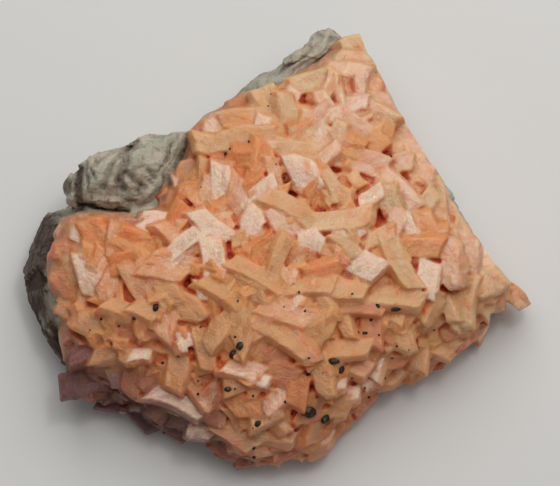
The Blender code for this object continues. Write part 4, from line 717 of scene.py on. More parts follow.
def height_at(heights, bearing):
    """Height from a list of bearings and heights."""
    degrees = math.degrees(bearing) % 360.0
    for (low, low_height), (high, high_height) in zip(heights, heights[1:]):
        if low <= degrees <= high:
            share = (degrees - low) / (high - low)
            return low_height + (high_height - low_height) * share
    return heights[-1][1]


def rim_height(bearing):
    """Height of the crystal tips along the edge of the crust."""
    return height_at(CRUST_RIM_HEIGHTS, bearing)


ROCK_EDGE = Outline(ROCK_OUTLINE, lambda bearing: ROCK_WAIST, CORE)
CRUST_EDGE = Outline(CRUST_OUTLINE, lambda bearing: max(rim_height(bearing), OUTLINE_HEIGHT), CORE)


def crust_dome(bearing, share):
    """Height of the crystal tips at a share of the way out along a bearing."""
    rim = rim_height(bearing)
    return rim + (CRUST_PEAK - rim) * math.sqrt(1.0 - share ** DOME_POWER)


def crust_share(point):
    """Bearing of a spot from the core line, and its share of the way out to the crust's edge."""
    offset = point - CORE
    bearing = math.atan2(offset.y, offset.x)
    return bearing, min(offset.to_2d().length / CRUST_EDGE.reach(bearing), 1.0)


def on_crust(column, row):
    """Point of the general crust surface that shows at this place in the main view."""
    height = CRUST_PEAK
    for _ in range(SEARCH_STEPS):
        height = 0.5 * (height + crust_dome(*crust_share(in_view(column, row, height))))
    return in_view(column, row, height)


def roughened(point, amount, size=BUMP_SIZE):
    """Point moved a little, always the same way at the same spot."""
    return point + amount * noise.noise_vector((point - CENTRING) / size)


def smooth_step(low, high, value):
    """Soft change from 0 at low to 1 at high."""
    share = np.clip((value - low) / (high - low), 0.0, 1.0)
    return share * share * (3.0 - 2.0 * share)


class Shells:
    """Closed shells gathered into one mesh, each with its body colours and painted shade, its painted pearly
    sheen and its own grid.
    """

    def __init__(self):
        self.points = []
        self.faces = []
        self.tones = []
        self.pearls = []
        self.numbers = []
        self.grids = []
        self.count = 0

    def add(self, points, faces, tones, pearls, lay):
        """Add a shell: points and faces, and each point's colour with its painted shade, its pearly sheen
        and its place on its own grid.
        """
        corners = [corner for face in faces for corner in face]
        self.points.append(points)
        self.faces.extend([[int(corner) + self.count for corner in face] for face in faces])
        self.tones.append(np.broadcast_to(tones, (len(points), 3))[corners])
        self.pearls.append(pearls[corners])
        self.numbers.extend([len(self.grids)] * len(faces))
        self.grids.append(np.linalg.lstsq(with_one(points), lay, rcond=None)[0])
        self.count += len(points)

    def as_object(self, name):
        """New object from all the shells."""
        mesh = bpy.data.meshes.new(name)
        mesh.from_pydata((np.concatenate(self.points) * METRES).tolist(), [], self.faces)
        store(mesh, "tone", "FLOAT_COLOR", with_one(np.concatenate(self.tones)), "CORNER")
        store(mesh, "pearl", "FLOAT", np.concatenate(self.pearls), "CORNER")
        store(mesh, "shell", "INT", self.numbers, "FACE")
        return shown(name, mesh)


def with_one(values):
    """Rows of values, each with a one after it."""
    return np.column_stack([values, np.ones(len(values))])


def shown(name, data):
    """New object in the scene with this mesh, light or camera."""
    thing = bpy.data.objects.new(name, data)
    bpy.context.scene.collection.objects.link(thing)
    return thing


def store(mesh, name, kind, values, domain="POINT"):
    """Store one value for each point of a mesh, or for each of its corners or faces."""
    layer = mesh.attributes.new(name, kind, domain)
    form = np.int32 if kind == "INT" else np.float32
    layer.data.foreach_set(FIELDS[kind], np.ascontiguousarray(values, dtype=form).ravel())


def fetched(items, field, width=1, form=np.float32):
    """One field of all the items of a mesh, with a row for each where it has several numbers."""
    values = np.empty(len(items) * width, form)
    items.foreach_get(field, values)
    return values.reshape(-1, width) if width > 1 else values


def coordinates(mesh):
    """Points of a mesh in millimetres."""
    return fetched(mesh.vertices, "co", 3).astype(float) / METRES


def move_points(mesh, points):
    """Move the points of a mesh to these places in millimetres."""
    mesh.vertices.foreach_set("co", (points * METRES).astype(np.float32).ravel())


def normals(mesh):
    """Unit normals of a mesh's points."""
    return fetched(mesh.vertex_normals, "vector", 3).astype(float)


def finished(shape, name):
    """New object from a shape under work, which is then let go."""
    mesh = bpy.data.meshes.new(name)
    shape.to_mesh(mesh)
    shape.free()
    return shown(name, mesh)


@lru_cache(maxsize=None)
def block_grid(along, across, deep):
    """Steps of each point over the six sides of a block, and its quads, which face outwards."""
    index = {}
    quads = []

    def point(*step):
        return index.setdefault(step, len(index))

    def side(low, high, make):
        for first in range(low):
            for second in range(high):
                ends = ((first, second), (first + 1, second), (first + 1, second + 1), (first, second + 1))
                quads.append([point(*make(*end)) for end in ends])

    side(along, across, lambda i, j: (i, j, 0))
    side(across, along, lambda j, i: (i, j, deep))
    side(along, deep, lambda i, k: (i, across, k))
    side(deep, along, lambda k, i: (i, 0, k))
    side(deep, across, lambda k, j: (along, j, k))
    side(across, deep, lambda j, k: (0, j, k))
    return np.array(list(index)), np.array(quads)


def spaced(half, steps, edge):
    """Places along a side from -half to half, with one narrow step at each end."""
    return np.concatenate([[-half], np.linspace(edge - half, half - edge, steps - 1), [half]])


def worn(local, half_length, half_width, edge):
    """Block points with the upper edges rounded off."""
    inner = local.copy()
    inner[:, 0] = np.clip(local[:, 0], edge - half_length, half_length - edge)
    inner[:, 1] = np.clip(local[:, 1], edge - half_width, half_width - edge)
    inner[:, 2] = np.minimum(local[:, 2], -edge)
    out = local - inner
    length = np.linalg.norm(out, axis=1)
    outer = length > 1e-9
    local[outer] = inner[outer] + edge * out[outer] / length[outer, None]
    return local


# A crystal's form in its own frame, in millimetres
Form = namedtuple("Form", "length width depth edge bow skew crown saddle twist point wave slant")


def formed(form, chance):
    """Points of one curved rhombic crystal in its own frame, its quads and each point's lay."""
    along_steps = max(3, round(form.length / STEP_ALONG))
    across_steps = 2 * max(1, round(form.width / (2.0 * STEP_ACROSS)))
    half_length = 0.5 * form.length
    half_width = 0.5 * form.width
    steps, quads = block_grid(along_steps, across_steps, 3)
    xs = spaced(half_length, along_steps, form.edge)
    ys = spaced(half_width, across_steps, form.edge)
    waist = WAIST * form.depth
    zs = np.array([0.0, -form.edge, -waist, -form.depth])
    local = np.column_stack([xs[steps[:, 0]], ys[steps[:, 1]], zs[steps[:, 2]]])
    lay = local.copy()
    local = worn(local, half_length, half_width, form.edge)
    x, y, z = local.T
    s = x / half_length
    t = y / half_width
    deep = -z / form.depth
    phase = chance.uniform(0.0, 2.0 * math.pi)
    wave = 1.0 + form.wave * (0.55 * np.sin(2.6 * s + phase) + 0.45 * np.sin(5.3 * s + 2.0 * phase)) * 0.5
    new_y = y * (1.0 - END_TAPER * s * s) * wave
    new_x = x + math.tan(math.radians(form.skew)) * y
    new_x -= np.sign(s) * form.point * np.abs(t) ** 1.4 * half_width * np.abs(s) ** 3
    new_y = new_y + form.bow * (0.5 - s * s)
    new_z = z - form.crown * s * s + form.saddle * (t * t - 0.5) + form.twist * s * y
    spread = FLARE * np.interp(-z, [0.0, waist, form.depth], [0.0, waist, 0.0])
    new_x = new_x * (1.0 + spread / half_length) + form.slant[0] * deep
    new_y = new_y * (1.0 + spread / half_width) + form.slant[1] * deep
    return np.column_stack([new_x, new_y, new_z]), quads, lay


def in_frame(local, tip, axes):
    """Points of a crystal's own frame, put where it grew."""
    return np.array(tip) + local @ np.array(axes)


def face_pearl(lay, amount):
    """Painted pearly sheen of each point of a crystal: all of it on the face, and none down its sides."""
    return amount * smooth_step(*FACE_FADE, lay[:, 2])


def with_painted_side_glow(tone, lay):
    """Colour of each point of a crystal, with painted orange glow and shade down its sides."""
    depth = smooth_step(*SIDE_FADE, lay[:, 2])[:, None]
    return tone * (1.0 - depth + depth * np.array(PAINTED_SIDE_GLOW))


def view_frame(crystal):
    """Facing and along directions of a crystal placed in the main view."""
    heading = math.radians(crystal.heading)
    pitch = math.radians(crystal.pitch)
    lean = math.radians(crystal.lean)
    flat = math.cos(heading) * VIEW_RIGHT + math.sin(heading) * VIEW_UP
    along = math.cos(pitch) * flat + math.sin(pitch) * TO_EYE
    level = (TO_EYE - TO_EYE.dot(along) * along).normalized()
    across = level.cross(along)
    return math.cos(lean) * level + math.sin(lean) * across, along


def varied(tone, chance, amount=COLOUR_SPREAD):
    """Body colour a little lighter or darker, and warmer or cooler."""
    light = 1.0 + chance.uniform(-amount, amount)
    warm = chance.uniform(-amount, amount)
    return np.array([tone[0] * light, tone[1] * light * (1.0 - 0.5 * warm), tone[2] * light * (1.0 - warm)])


def grow_crystal(shells, tip, facing, along, crystal, slant, chance):
    """Add a crystal with the plates that grow on its sides."""
    axes = (along, facing.cross(along), facing)
    bowed = crystal.length > LONG_CRYSTAL or abs(crystal.bow) > STRAIGHT_BOW
    form = Form(
        crystal.length * LENGTH_GROWTH, crystal.width * WIDTH_GROWTH, CRYSTAL_DEPTH, EDGE_WEAR,
        crystal.bow + chance.uniform(-0.04, 0.04) * crystal.length, crystal.skew * SKEW_GROWTH,
        CROWN if bowed else 0.5 * CROWN, SADDLE_RISE * crystal.width / 4.0,
        TWIST * chance.uniform(-1.0, 1.0), chance.choice(END_POINTS), SIDE_WAVE, slant,
    )
    tone = varied(crystal.tone, chance)
    shift = np.array([chance.uniform(0.0, 90.0) for _ in range(3)])
    local, quads, lay = formed(form, chance)
    pearls = face_pearl(lay, crystal.pearl)
    shells.add(in_frame(local, tip, axes), quads, with_painted_side_glow(tone, lay), pearls, lay + shift)
    for _ in range(chance.choice(PLATE_COUNTS)):
        sideways = chance.choice((-1.0, 1.0)) * chance.uniform(*PLATE_ACROSS) * form.width
        lengthways = chance.uniform(-PLATE_ALONG, PLATE_ALONG) * form.length
        place = lengthways / (0.5 * form.length)
        drop = chance.uniform(*PLATE_DROPS) + form.crown * place * place
        plate = form._replace(
            length=form.length * chance.uniform(*PLATE_LENGTHS),
            width=max(0.9, form.width * chance.uniform(*PLATE_WIDTHS)),
            edge=0.7 * form.edge, bow=0.4 * form.bow, crown=0.3 * form.crown, twist=0.5 * form.twist,
            point=chance.choice((0.0, 0.3)),
        )
        points, plate_quads, plate_lay = formed(plate, chance)
        turn = Euler([math.radians(chance.uniform(-PLATE_TURN, PLATE_TURN)) for _ in range(3)]).to_matrix()
        points = points @ np.array(turn).T
        points += np.array([lengthways, sideways + form.bow * (0.5 - place * place), -drop])
        pearls = face_pearl(plate_lay, crystal.pearl * chance.uniform(0.6, 1.0))
        tones = with_painted_side_glow(varied(tone, chance, PLATE_SPREAD), plate_lay)
        shells.add(in_frame(points, tip, axes), plate_quads, tones, pearls, plate_lay + shift)


def main_crystals(shells):
    """All listed crystals of the crust."""
    chance = random.Random(FLANK_SEED)
    detail = random.Random(FORM_SEED)
    for row in CRYSTALS:
        crystal = Crystal(*row)
        tip = on_crust(crystal.column, crystal.row)
        thin = nearness(tip, THIN_EDGE, THIN_REACH)
        broken = nearness(tip, BROKEN_EDGE, BROKEN_REACH)
        flush = max(thin, broken)
        together = float(grown_together(np.array([tip]))[0])
        lift = LIFT_SHARE * crystal.lift * (1.0 - flush) * (1.0 - (1.0 - TOGETHER_LIFT) * together)
        lean = crystal.lean * (1.0 - (1.0 - FLUSH_LEAN) * flush) * (1.0 - (1.0 - TOGETHER_LEAN) * together)
        size = 1.0 - THIN_SHRINK * thin
        crystal = crystal._replace(lean=lean, length=size * crystal.length, width=size * crystal.width)
        facing, along = view_frame(crystal)
        tip += (lift - THIN_DROP * thin) * TO_EYE
        slant = (chance.uniform(-FOOT_SLANT, FOOT_SLANT), chance.uniform(-FOOT_SLANT, FOOT_SLANT))
        local = ground_colour_and_shade(np.array([tip]))[0]
        own = local * (1.0 - OWN_COLOUR + OWN_COLOUR * np.array(crystal.tone) / np.array(WARM_SIDE))
        pearl = max(crystal.pearl, float(ground_pearl(np.array([tip]))[0]))
        grow_crystal(shells, tip, facing, along, crystal._replace(tone=own, pearl=pearl), slant, detail)


def any_direction(chance):
    """Vector of any direction and up to unit size along each axis."""
    return Vector([chance.uniform(-1.0, 1.0) for _ in range(3)])


def blend(first, second, share):
    """Colours part of the way from a first one to a second one."""
    share = np.asarray(share)[:, None]
    return first * (1.0 - share) + np.array(second) * share


def near_line(points, line, reach):
    """How near these points show to a line of places in the main view, from 1 on it to 0."""
    columns, rows = seen_at(points)
    nearest = np.full(len(points), np.inf)
    for (column, row), (next_column, next_row) in zip(line, line[1:]):
        run = np.array([next_column - column, next_row - row], float)
        share = ((columns - column) * run[0] + (rows - row) * run[1]) / (run @ run)
        share = np.clip(share, 0.0, 1.0)
        gap = np.hypot(columns - column - share * run[0], rows - row - share * run[1])
        nearest = np.minimum(nearest, gap)
    return smooth_step(reach[1], reach[0], nearest)


def nearness(spot, line, reach):
    """How near one spot shows to a line of places in the main view."""
    return float(near_line(np.array([spot]), line, reach)[0])


def ground_colour_and_shade(points):
    """Colour of the crust at these points, with painted shade on its low sides and its lower left flank."""
    columns, rows = seen_at(points)
    heights = points[:, 2]
    tones = np.tile(np.array(WARM_SIDE), (len(points), 1))
    pale = smooth_step(*PALE_RUN, columns - PALE_LINE[0] * rows - PALE_LINE[1])
    tones = blend(tones, PALE_SIDE, pale)
    # Painted shade: darker low down and towards the lower left, and darkest on the lower left flank
    low_left = smooth_step(*LOW_LEFT_RUN, rows - LOW_LEFT_LINE[0] * columns + LOW_LEFT_LINE[1])
    low = np.maximum(smooth_step(*LOW_HEIGHTS, heights), LOW_LEFT_SHARE * low_left)
    tones = blend(tones, PAINTED_SHADE_LOW, low)
    dark = smooth_step(*DARK_HEIGHTS, heights) * smooth_step(*DARK_COLUMNS, columns)
    dark = np.maximum(dark, DARK_SHARE * near_line(points, DARK_EDGE, DARK_REACH))
    tones = blend(tones, PAINTED_SHADE_LOW_LEFT, dark)
    return blend(tones, BROWN_MARGIN, near_line(points, THIN_EDGE, THIN_REACH))


def ground_pearl(points):
    """How much painted pearly sheen the crust has at these points."""
    columns, rows = seen_at(points)
    most = np.zeros(len(points))
    for column, row, reach, amount in PEARLY_AREAS:
        gap = np.hypot(columns - column, rows - row)
        most = np.maximum(most, amount * smooth_step(PEARLY_FADE[0] * reach, PEARLY_FADE[1] * reach, gap))
    return most


def flank_crystals(shells, surface):
    """Crystals that stand outwards on the free flanks, in tiers."""
    chance = random.Random(FLANK_SEED)
    detail = random.Random(FORM_SEED)
    for height, count in FLANK_TIERS:
        for index in range(count):
            share = (index + chance.uniform(*FLANK_PLACES)) / count
            bearing = math.radians(FLANK_FROM + (FLANK_TO - FLANK_FROM) * share)
            outward = Vector((math.cos(bearing), math.sin(bearing), 0.0))
            level = height + chance.uniform(-FLANK_JITTER, FLANK_JITTER)
            start = Vector((CORE.x, CORE.y, level)) + OUTSIDE * outward
            hit, normal, _, _ = surface.ray_cast(start, -outward)
            facing = (normal + FLANK_SCATTER * any_direction(chance)).normalized()
            along = facing.cross(any_direction(chance)).normalized()
            length = chance.uniform(*FLANK_LENGTHS)
            width = length * chance.uniform(*FLANK_WIDTHS)
            tone = ground_colour_and_shade(np.array([hit]))[0]
            crystal = Crystal(0, 0, 0, 0, length, width, 0, FLANK_SKEW, FLANK_PEARL, tone)
            grow_crystal(shells, hit + FLANK_STAND * normal, facing, along, crystal, FLANK_SLANT, detail)


def crevice_depth(spot):
    """Depth of the crevices under the crystal tips at one spot."""
    broken = nearness(spot, BROKEN_EDGE, BROKEN_REACH)
    thin = nearness(spot, THIN_EDGE, THIN_REACH)
    depth = CREVICE_DEPTH + (TOGETHER_DEPTH - CREVICE_DEPTH) * float(grown_together(np.array([spot]))[0])
    depth += (BROKEN_DEPTH - depth) * broken
    depth += (THIN_DEPTH - depth) * thin
    return depth + float(deep_places(np.array([spot]))[0])


def deep_places(points):
    """Added depth of the crevices at these points."""
    columns, rows = seen_at(points)
    deep = np.zeros(len(points))
    for column, row, reach, added in CREVICES:
        gap = np.hypot(columns - column, rows - row)
        near = smooth_step(reach + CREVICE_RIM, CREVICE_FLOOR * reach, gap)
        deep = np.maximum(deep, CREVICE_SHARE * added * near)
    return deep


def grown_together(points):
    """How far the crystals have grown into one another at these points, from 0 to 1."""
    columns, rows = seen_at(points)
    most = np.zeros(len(points))
    for column, row, reach in GROWN_TOGETHER:
        gap = np.hypot(columns - column, rows - row)
        most = np.maximum(most, smooth_step(TOGETHER_FADE[0] * reach, TOGETHER_FADE[1] * reach, gap))
    return most


def layer_rings():
    """Rings of points over the layer that the crystals grow from, from its foot to its middle."""
    turns = [2.0 * math.pi * step / LAYER_BEARINGS for step in range(LAYER_BEARINGS)]
    reaches = [CRUST_EDGE.reach(turn) for turn in turns]
    rings = []

    def ring(share, heights, inset, rough):
        points = []
        for turn, full in zip(turns, reaches):
            reach = full * share - inset
            point = Vector((CORE.x + reach * math.cos(turn), CORE.y + reach * math.sin(turn), heights(turn)))
            moved = roughened(point, rough)
            points.append(roughened(moved, GRANULE_ROUGHNESS, GRANULE_SIZE))
        rings.append(points)

    def wall(part):
        def height(turn):
            top = max(rim_height(turn) - WALL_DROP, CRUST_FOOT + WALL_DROP)
            return CRUST_FOOT + (top - CRUST_FOOT) * part
        return height

    def floor(share):
        def height(turn):
            top = crust_dome(turn, share)
            reach = share * CRUST_EDGE.reach(turn)
            spot = Vector((CORE.x + reach * math.cos(turn), CORE.y + reach * math.sin(turn), top))
            cover = 0.5 * (height_at(SHOULDER_HEIGHTS, turn) + ROCK_MIDDLE) + ROCK_COVER
            return max(top - crevice_depth(spot), cover * (1.0 - share), CRUST_FOOT + WALL_DROP)
        return height

    for step in range(LAYER_WALL_RINGS):
        part = step / (LAYER_WALL_RINGS - 1)
        share = WALL_SHARES[0] + (WALL_SHARES[1] - WALL_SHARES[0]) * part
        ring(share, wall(part), 0.0, LAYER_ROUGHNESS)
    for step in range(LAYER_FLOOR_RINGS):
        share = FLOOR_FROM * (1.0 - step / LAYER_FLOOR_RINGS)
        ring(share, floor(share), FLOOR_INSET * share, LAYER_ROUGHNESS)
    return rings


def layer_mesh():
    """Points and faces of the layer that the crystals grow from, closed below and above."""
    rings = layer_rings()
    count = LAYER_BEARINGS
    points = [tuple(point) for ring in rings for point in ring]
    below, above = len(points), len(points) + 1
    points.append((CORE.x, CORE.y, CRUST_FOOT))
    points.append((CORE.x, CORE.y, CRUST_PEAK - CREVICE_DEPTH))
    faces = []
    for level in range(len(rings) - 1):
        low = level * count
        high = low + count
        for index in range(count):
            after = (index + 1) % count
            faces.append((low + index, low + after, high + after, high + index))
    last = (len(rings) - 1) * count
    for index in range(count):
        after = (index + 1) % count
        faces.append((below, after, index))
        faces.append((last + index, last + after, above))
    return np.array(points), faces


class Network:
    """Node tree with one way to add a node: its kind, its settings, and then its sockets."""

    def __init__(self, tree):
        self.tree = tree

    def node(self, kind, settings=None, sockets=None):
        """Add a node, with its settings first and then a value or a link for each named socket."""
        made = self.tree.nodes.new(kind)
        for name, value in (settings or {}).items():
            setattr(made, name, value)
        for name, value in (sockets or {}).items():
            self.feed(self.socket(made.inputs, name), value)
        return made

    def socket(self, sockets, name):
        """Socket with this identifier, or else with this name."""
        for socket in sockets:
            if socket.identifier == name:
                return socket
        return next(socket for socket in sockets if socket.name == name and socket.enabled)

    def feed(self, socket, value):
        """Link a socket to another, or set its value."""
        if isinstance(value, Amount):
            value = value.socket
        if isinstance(value, bpy.types.NodeSocket):
            self.tree.links.new(value, socket)
        else:
            socket.default_value = value

    def amount(self, node, name=None):
        """Number that a node gives, ready for arithmetic."""
        return Amount(self, self.socket(node.outputs, name) if name else node.outputs[0])

    def stored(self, name, output):
        """What the mesh stores under this name."""
        return self.node("ShaderNodeAttribute", {"attribute_name": name}).outputs[output]

    def stored_number(self, name):
        """Number that the mesh stores under this name."""
        return Amount(self, self.stored(name, "Fac"))

    def noise(self, place, scale, detail, more=None):
        """Noise at a place."""
        sockets = {"Vector": place, "Scale": scale, "Detail": detail}
        return self.amount(self.node("ShaderNodeTexNoise", {}, dict(sockets, **(more or {}))))

    def channel(self, colour, name):
        """One channel of a colour."""
        return self.amount(self.node("ShaderNodeSeparateColor", {}, {"Color": colour}), name)

    def vector(self, operation, first, sockets):
        """One Vector Math node."""
        sockets = dict({"Vector": first}, **sockets)
        return self.node("ShaderNodeVectorMath", {"operation": operation}, sockets).outputs[0]

    def tilt(self, colour, scale):
        """Tilt of a normal that a colour gives, once it is centred."""
        centred = self.vector("SUBTRACT", colour, {"Vector_001": (0.5, 0.5, 0.5)})
        return self.vector("SCALE", centred, {"Scale": scale})

    def bump(self, height, strength, distance):
        """Normal over fine relief of this height."""
        sockets = {"Height": height, "Strength": strength, "Distance": distance}
        return self.node("ShaderNodeBump", {}, sockets).outputs[0]

    def by_chance(self, lowest, highest, seed):
        """Vector drawn by chance for each spot."""
        sockets = {"Min": lowest, "Max": highest, "Seed": seed}
        return self.node("FunctionNodeRandomValue", {"data_type": "FLOAT_VECTOR"}, sockets).outputs["Value"]

    def end(self, out, geometry, material):
        """Last steps of a geometry tree: plain geometry in its material."""
        plain = self.node("GeometryNodeRealizeInstances", {}, {"Geometry": geometry}).outputs[0]
        dressed = self.node("GeometryNodeSetMaterial", {}, {"Geometry": plain, "Material": material})
        self.feed(out.inputs[0], dressed.outputs[0])


class Amount:
    """Number socket that takes part in arithmetic, each step of which adds a Math node."""

    def __init__(self, network, socket):
        self.network = network
        self.socket = socket

    def maths(self, operation, first, second=0.0, clamp=False):
        """One Math node."""
        node = self.network.node("ShaderNodeMath", {"operation": operation, "use_clamp": clamp},
                                 {"Value": first, "Value_001": second})
        return Amount(self.network, node.outputs[0])

    def __add__(self, other):
        return self.maths("ADD", self, other)

    __radd__ = __add__

    def __sub__(self, other):
        return self.maths("SUBTRACT", self, other)

    def __rsub__(self, other):
        return self.maths("SUBTRACT", other, self)

    def __mul__(self, other):
        return self.maths("MULTIPLY", self, other)

    __rmul__ = __mul__

    def limited(self):
        """The same number, kept from 0 to 1."""
        return self.maths("ADD", self, 0.0, clamp=True)

    def soft(self, low, high):
        """Soft change from 0 at low to 1 at high."""
        node = self.network.node(
            "ShaderNodeMapRange", {"interpolation_type": "SMOOTHSTEP"},
            {"Value": self, "From Min": low, "From Max": high})
        return Amount(self.network, node.outputs[0])


def geometry_tree(name, numbers):
    """New geometry tree with one mesh in, one mesh out and a named number for each input."""
    tree = bpy.data.node_groups.new(name, "GeometryNodeTree")
    tree.interface.new_socket("Mesh", in_out="INPUT", socket_type="NodeSocketGeometry")
    identifiers = {}
    for title, kind in numbers.items():
        identifiers[title] = tree.interface.new_socket(title, in_out="INPUT", socket_type=kind).identifier
    tree.interface.new_socket("Mesh", in_out="OUTPUT", socket_type="NodeSocketGeometry")
    network = Network(tree)
    return network, network.node("NodeGroupInput"), network.node("NodeGroupOutput"), identifiers


def grown(thing, network, identifiers, values):
    """Mesh of an object after a geometry tree with these inputs, which then lets go of it."""
    step = thing.modifiers.new(network.tree.name, "NODES")
    step.node_group = network.tree
    for title, value in values.items():
        step[identifiers[title]] = value
    return made_real(thing)


def made_real(thing):
    """Plain mesh of an object with its modifiers applied, which are then removed."""
    graph = bpy.context.evaluated_depsgraph_get()
    mesh = bpy.data.meshes.new_from_object(thing.evaluated_get(graph))
    thing.modifiers.clear()
    return mesh


def scatter_tree(material):
    """Tree that grows one shape all over a surface, turned and sized by chance."""
    kinds = {
        "Shape": "NodeSocketObject", "Density": "NodeSocketFloat", "Smallest": "NodeSocketVector",
        "Largest": "NodeSocketVector", "Tilt": "NodeSocketFloat", "Seed": "NodeSocketInt",
    }
    net, given, out, identifiers = geometry_tree("scatter", kinds)
    growth = net.node("GeometryNodeInputNamedAttribute", {"data_type": "FLOAT"}, {"Name": "growth"})
    density = net.amount(given, "Density") * net.amount(growth, "Attribute")
    seed = given.outputs["Seed"]
    spots = net.node("GeometryNodeDistributePointsOnFaces", {},
                     {"Mesh": given.outputs["Mesh"], "Density": density, "Seed": seed})
    tilt = net.amount(given, "Tilt")
    back = tilt * -1.0
    lowest = net.node("ShaderNodeCombineXYZ", {}, {"X": back, "Y": back, "Z": 0.0}).outputs[0]
    highest = net.node("ShaderNodeCombineXYZ", {}, {"X": tilt, "Y": tilt, "Z": 2.0 * math.pi}).outputs[0]
    turn = net.node("FunctionNodeEulerToRotation", {}, {"Euler": net.by_chance(lowest, highest, seed)})
    next_seed = net.amount(given, "Seed") + 1.0
    size = net.by_chance(given.outputs["Smallest"], given.outputs["Largest"], next_seed)
    turned = net.node("FunctionNodeRotateRotation", {"rotation_space": "LOCAL"},
                      {"Rotation": spots.outputs["Rotation"], "Rotate By": turn.outputs[0]})
    shape = net.node("GeometryNodeObjectInfo", {}, {"Object": given.outputs["Shape"]})
    placed = net.node("GeometryNodeInstanceOnPoints", {},
                      {"Points": spots.outputs["Points"], "Instance": shape.outputs["Geometry"],
                       "Rotation": turned.outputs[0], "Scale": size})
    net.end(out, placed.outputs[0], material)
    return net, identifiers


def fuse_tree(material):
    """Tree that joins all the overlapping shells of a mesh into one closed solid."""
    net, given, out, identifiers = geometry_tree("grow_together", {})
    island = net.node("GeometryNodeInputMeshIsland")
    parts = net.node("GeometryNodeSplitToInstances", {"domain": "FACE"},
                     {"Geometry": given.outputs["Mesh"], "Group ID": island.outputs["Island Index"]})
    joined = net.node("GeometryNodeMeshBoolean", {"operation": "UNION", "solver": "MANIFOLD"},
                      {"Mesh 2": parts.outputs["Instances"]})
    net.end(out, joined.outputs["Mesh"], material)
    return net, identifiers


def small_crystal(skew, bow):
    """Small curved rhombic crystal of unit size, half sunk in what it grows on."""
    steps, quads = block_grid(3, 2, 2)
    xs = np.array([-0.5, -0.2, 0.2, 0.5])
    ys = np.array([-0.5, 0.0, 0.5])
    zs = np.array([0.5, 0.46, -0.5])
    points = np.column_stack([xs[steps[:, 0]], ys[steps[:, 1]], zs[steps[:, 2]]])
    top = steps[:, 2] == 0
    points[top, :2] *= 0.96
    points[steps[:, 2] == 2, :2] *= 1.3
    points[:, 2] -= 0.25 * top * points[:, 0] ** 2
    points[:, 1] += bow * (0.5 - 4.0 * points[:, 0] ** 2)
    points[:, 0] += skew * points[:, 1]
    return points, quads


def scattered(surface, shape_points, quads, values, material):
    """Points of each of the shapes that grow over a surface."""
    mesh = bpy.data.meshes.new("small_shape")
    mesh.from_pydata(shape_points.tolist(), [], quads.tolist())
    shape = shown("small_shape", mesh)
    net, identifiers = scatter_tree(material)
    result = grown(surface, net, identifiers, dict(values, Shape=shape))
    bpy.data.objects.remove(shape)
    return fetched(result.vertices, "co", 3).reshape(-1, len(shape_points), 3) / METRES


def grow_layer_attribute(mesh, points):
    """Mark where small crystals grow over the layer, from 0 to 1."""
    growth = smooth_step(3.0, 6.0, points[:, 2])
    growth *= 1.0 - 0.8 * near_line(points, BROKEN_EDGE, BROKEN_REACH)
    growth *= 1.0 - near_line(points, THIN_EDGE, THIN_REACH)
    growth *= 1.0 - 0.8 * smooth_step(0.5, 2.0, deep_places(points))
    growth *= 1.0 - TOGETHER_BARE * grown_together(points)
    store(mesh, "growth", "FLOAT", growth)


def scaled(sizes):
    """Sizes in metres."""
    return [size * METRES for size in sizes]


def surface_of(points, faces):
    """Ray-casting surface of a mesh, in millimetres."""
    return BVHTree.FromPolygons([tuple(point) for point in points], [tuple(face) for face in faces])


def add_small(shells, placed, quads, shape_points, chance):
    """Add shells of the small crystals that were scattered."""
    sizes = np.ptp(shape_points, axis=0)
    for points in placed:
        middle = points.mean(axis=0)[None, :]
        tone = varied(ground_colour_and_shade(middle)[0], chance)
        lay = shape_points / sizes * np.array(INFILL_GRID) + chance.uniform(0.0, 90.0)
        shining = max(INFILL_PEARL * chance.random() ** 3, float(ground_pearl(middle)[0]))
        shells.add(points, quads, tone, np.full(len(points), shining), lay)


def build_crust(material, rock):
    """Dolomite: the layer, its main crystals, its flank crystals and the small ones, grown together."""
    points, faces = layer_mesh()
    surface = surface_of(points, faces)
    mesh = bpy.data.meshes.new("layer")
    mesh.from_pydata((points * METRES).tolist(), [], faces)
    grow_layer_attribute(mesh, points)
    layer = shown("layer", mesh)
    shells = Shells()
    shells.add(points, faces, ground_colour_and_shade(points), ground_pearl(points), points.copy())
    main_crystals(shells)
    flank_crystals(shells, surface)
    for index, (skew, bow) in enumerate(INFILL_SHAPES):
        shape_points, quads = small_crystal(skew, bow)
        seed = INFILL_SEED + index
        infill = scattered(layer, shape_points, quads, {
            "Density": INFILL_DENSITY / METRES ** 2, "Smallest": scaled(INFILL_SMALLEST),
            "Largest": scaled(INFILL_LARGEST), "Tilt": INFILL_TILT, "Seed": seed}, material)
        add_small(shells, infill, quads, shape_points, random.Random(seed))
    bpy.data.objects.remove(layer)
    crust = shells.as_object("dolomite_crystals")
    net, identifiers = fuse_tree(material)
    crust.data = grown(crust, net, identifiers, {})
    source = crust.data
    for margin in MARGINS:
        cut_away(crust, space_beyond(margin))
    soften(crust)
    cut_away(crust, rock_cutter(rock))
    cut_away(crust, space_below())
    crust.data.name = crust.name
    carry_over(crust.data, source, np.array(shells.grids))
    add_openness(crust.data)
    add_sunk(crust.data)
    dress(crust, material)
    return crust


def corner_points(mesh):
    """Point at each face corner of a mesh, by number."""
    return fetched(mesh.loops, "vertex_index", 1, np.int32)


def face_corners(mesh):
    """First corner of each face of a mesh, and how many corners it has."""
    starts = fetched(mesh.polygons, "loop_start", 1, np.int32)
    return starts, fetched(mesh.polygons, "loop_total", 1, np.int32)


def edge_ends(mesh):
    """Both points of each edge of a mesh, by number."""
    return fetched(mesh.edges, "vertices", 2, np.int32)


def gathered(places, values, count):
    """Sum of the values that go to each place."""
    return np.column_stack([np.bincount(places, column, count) for column in values.T])


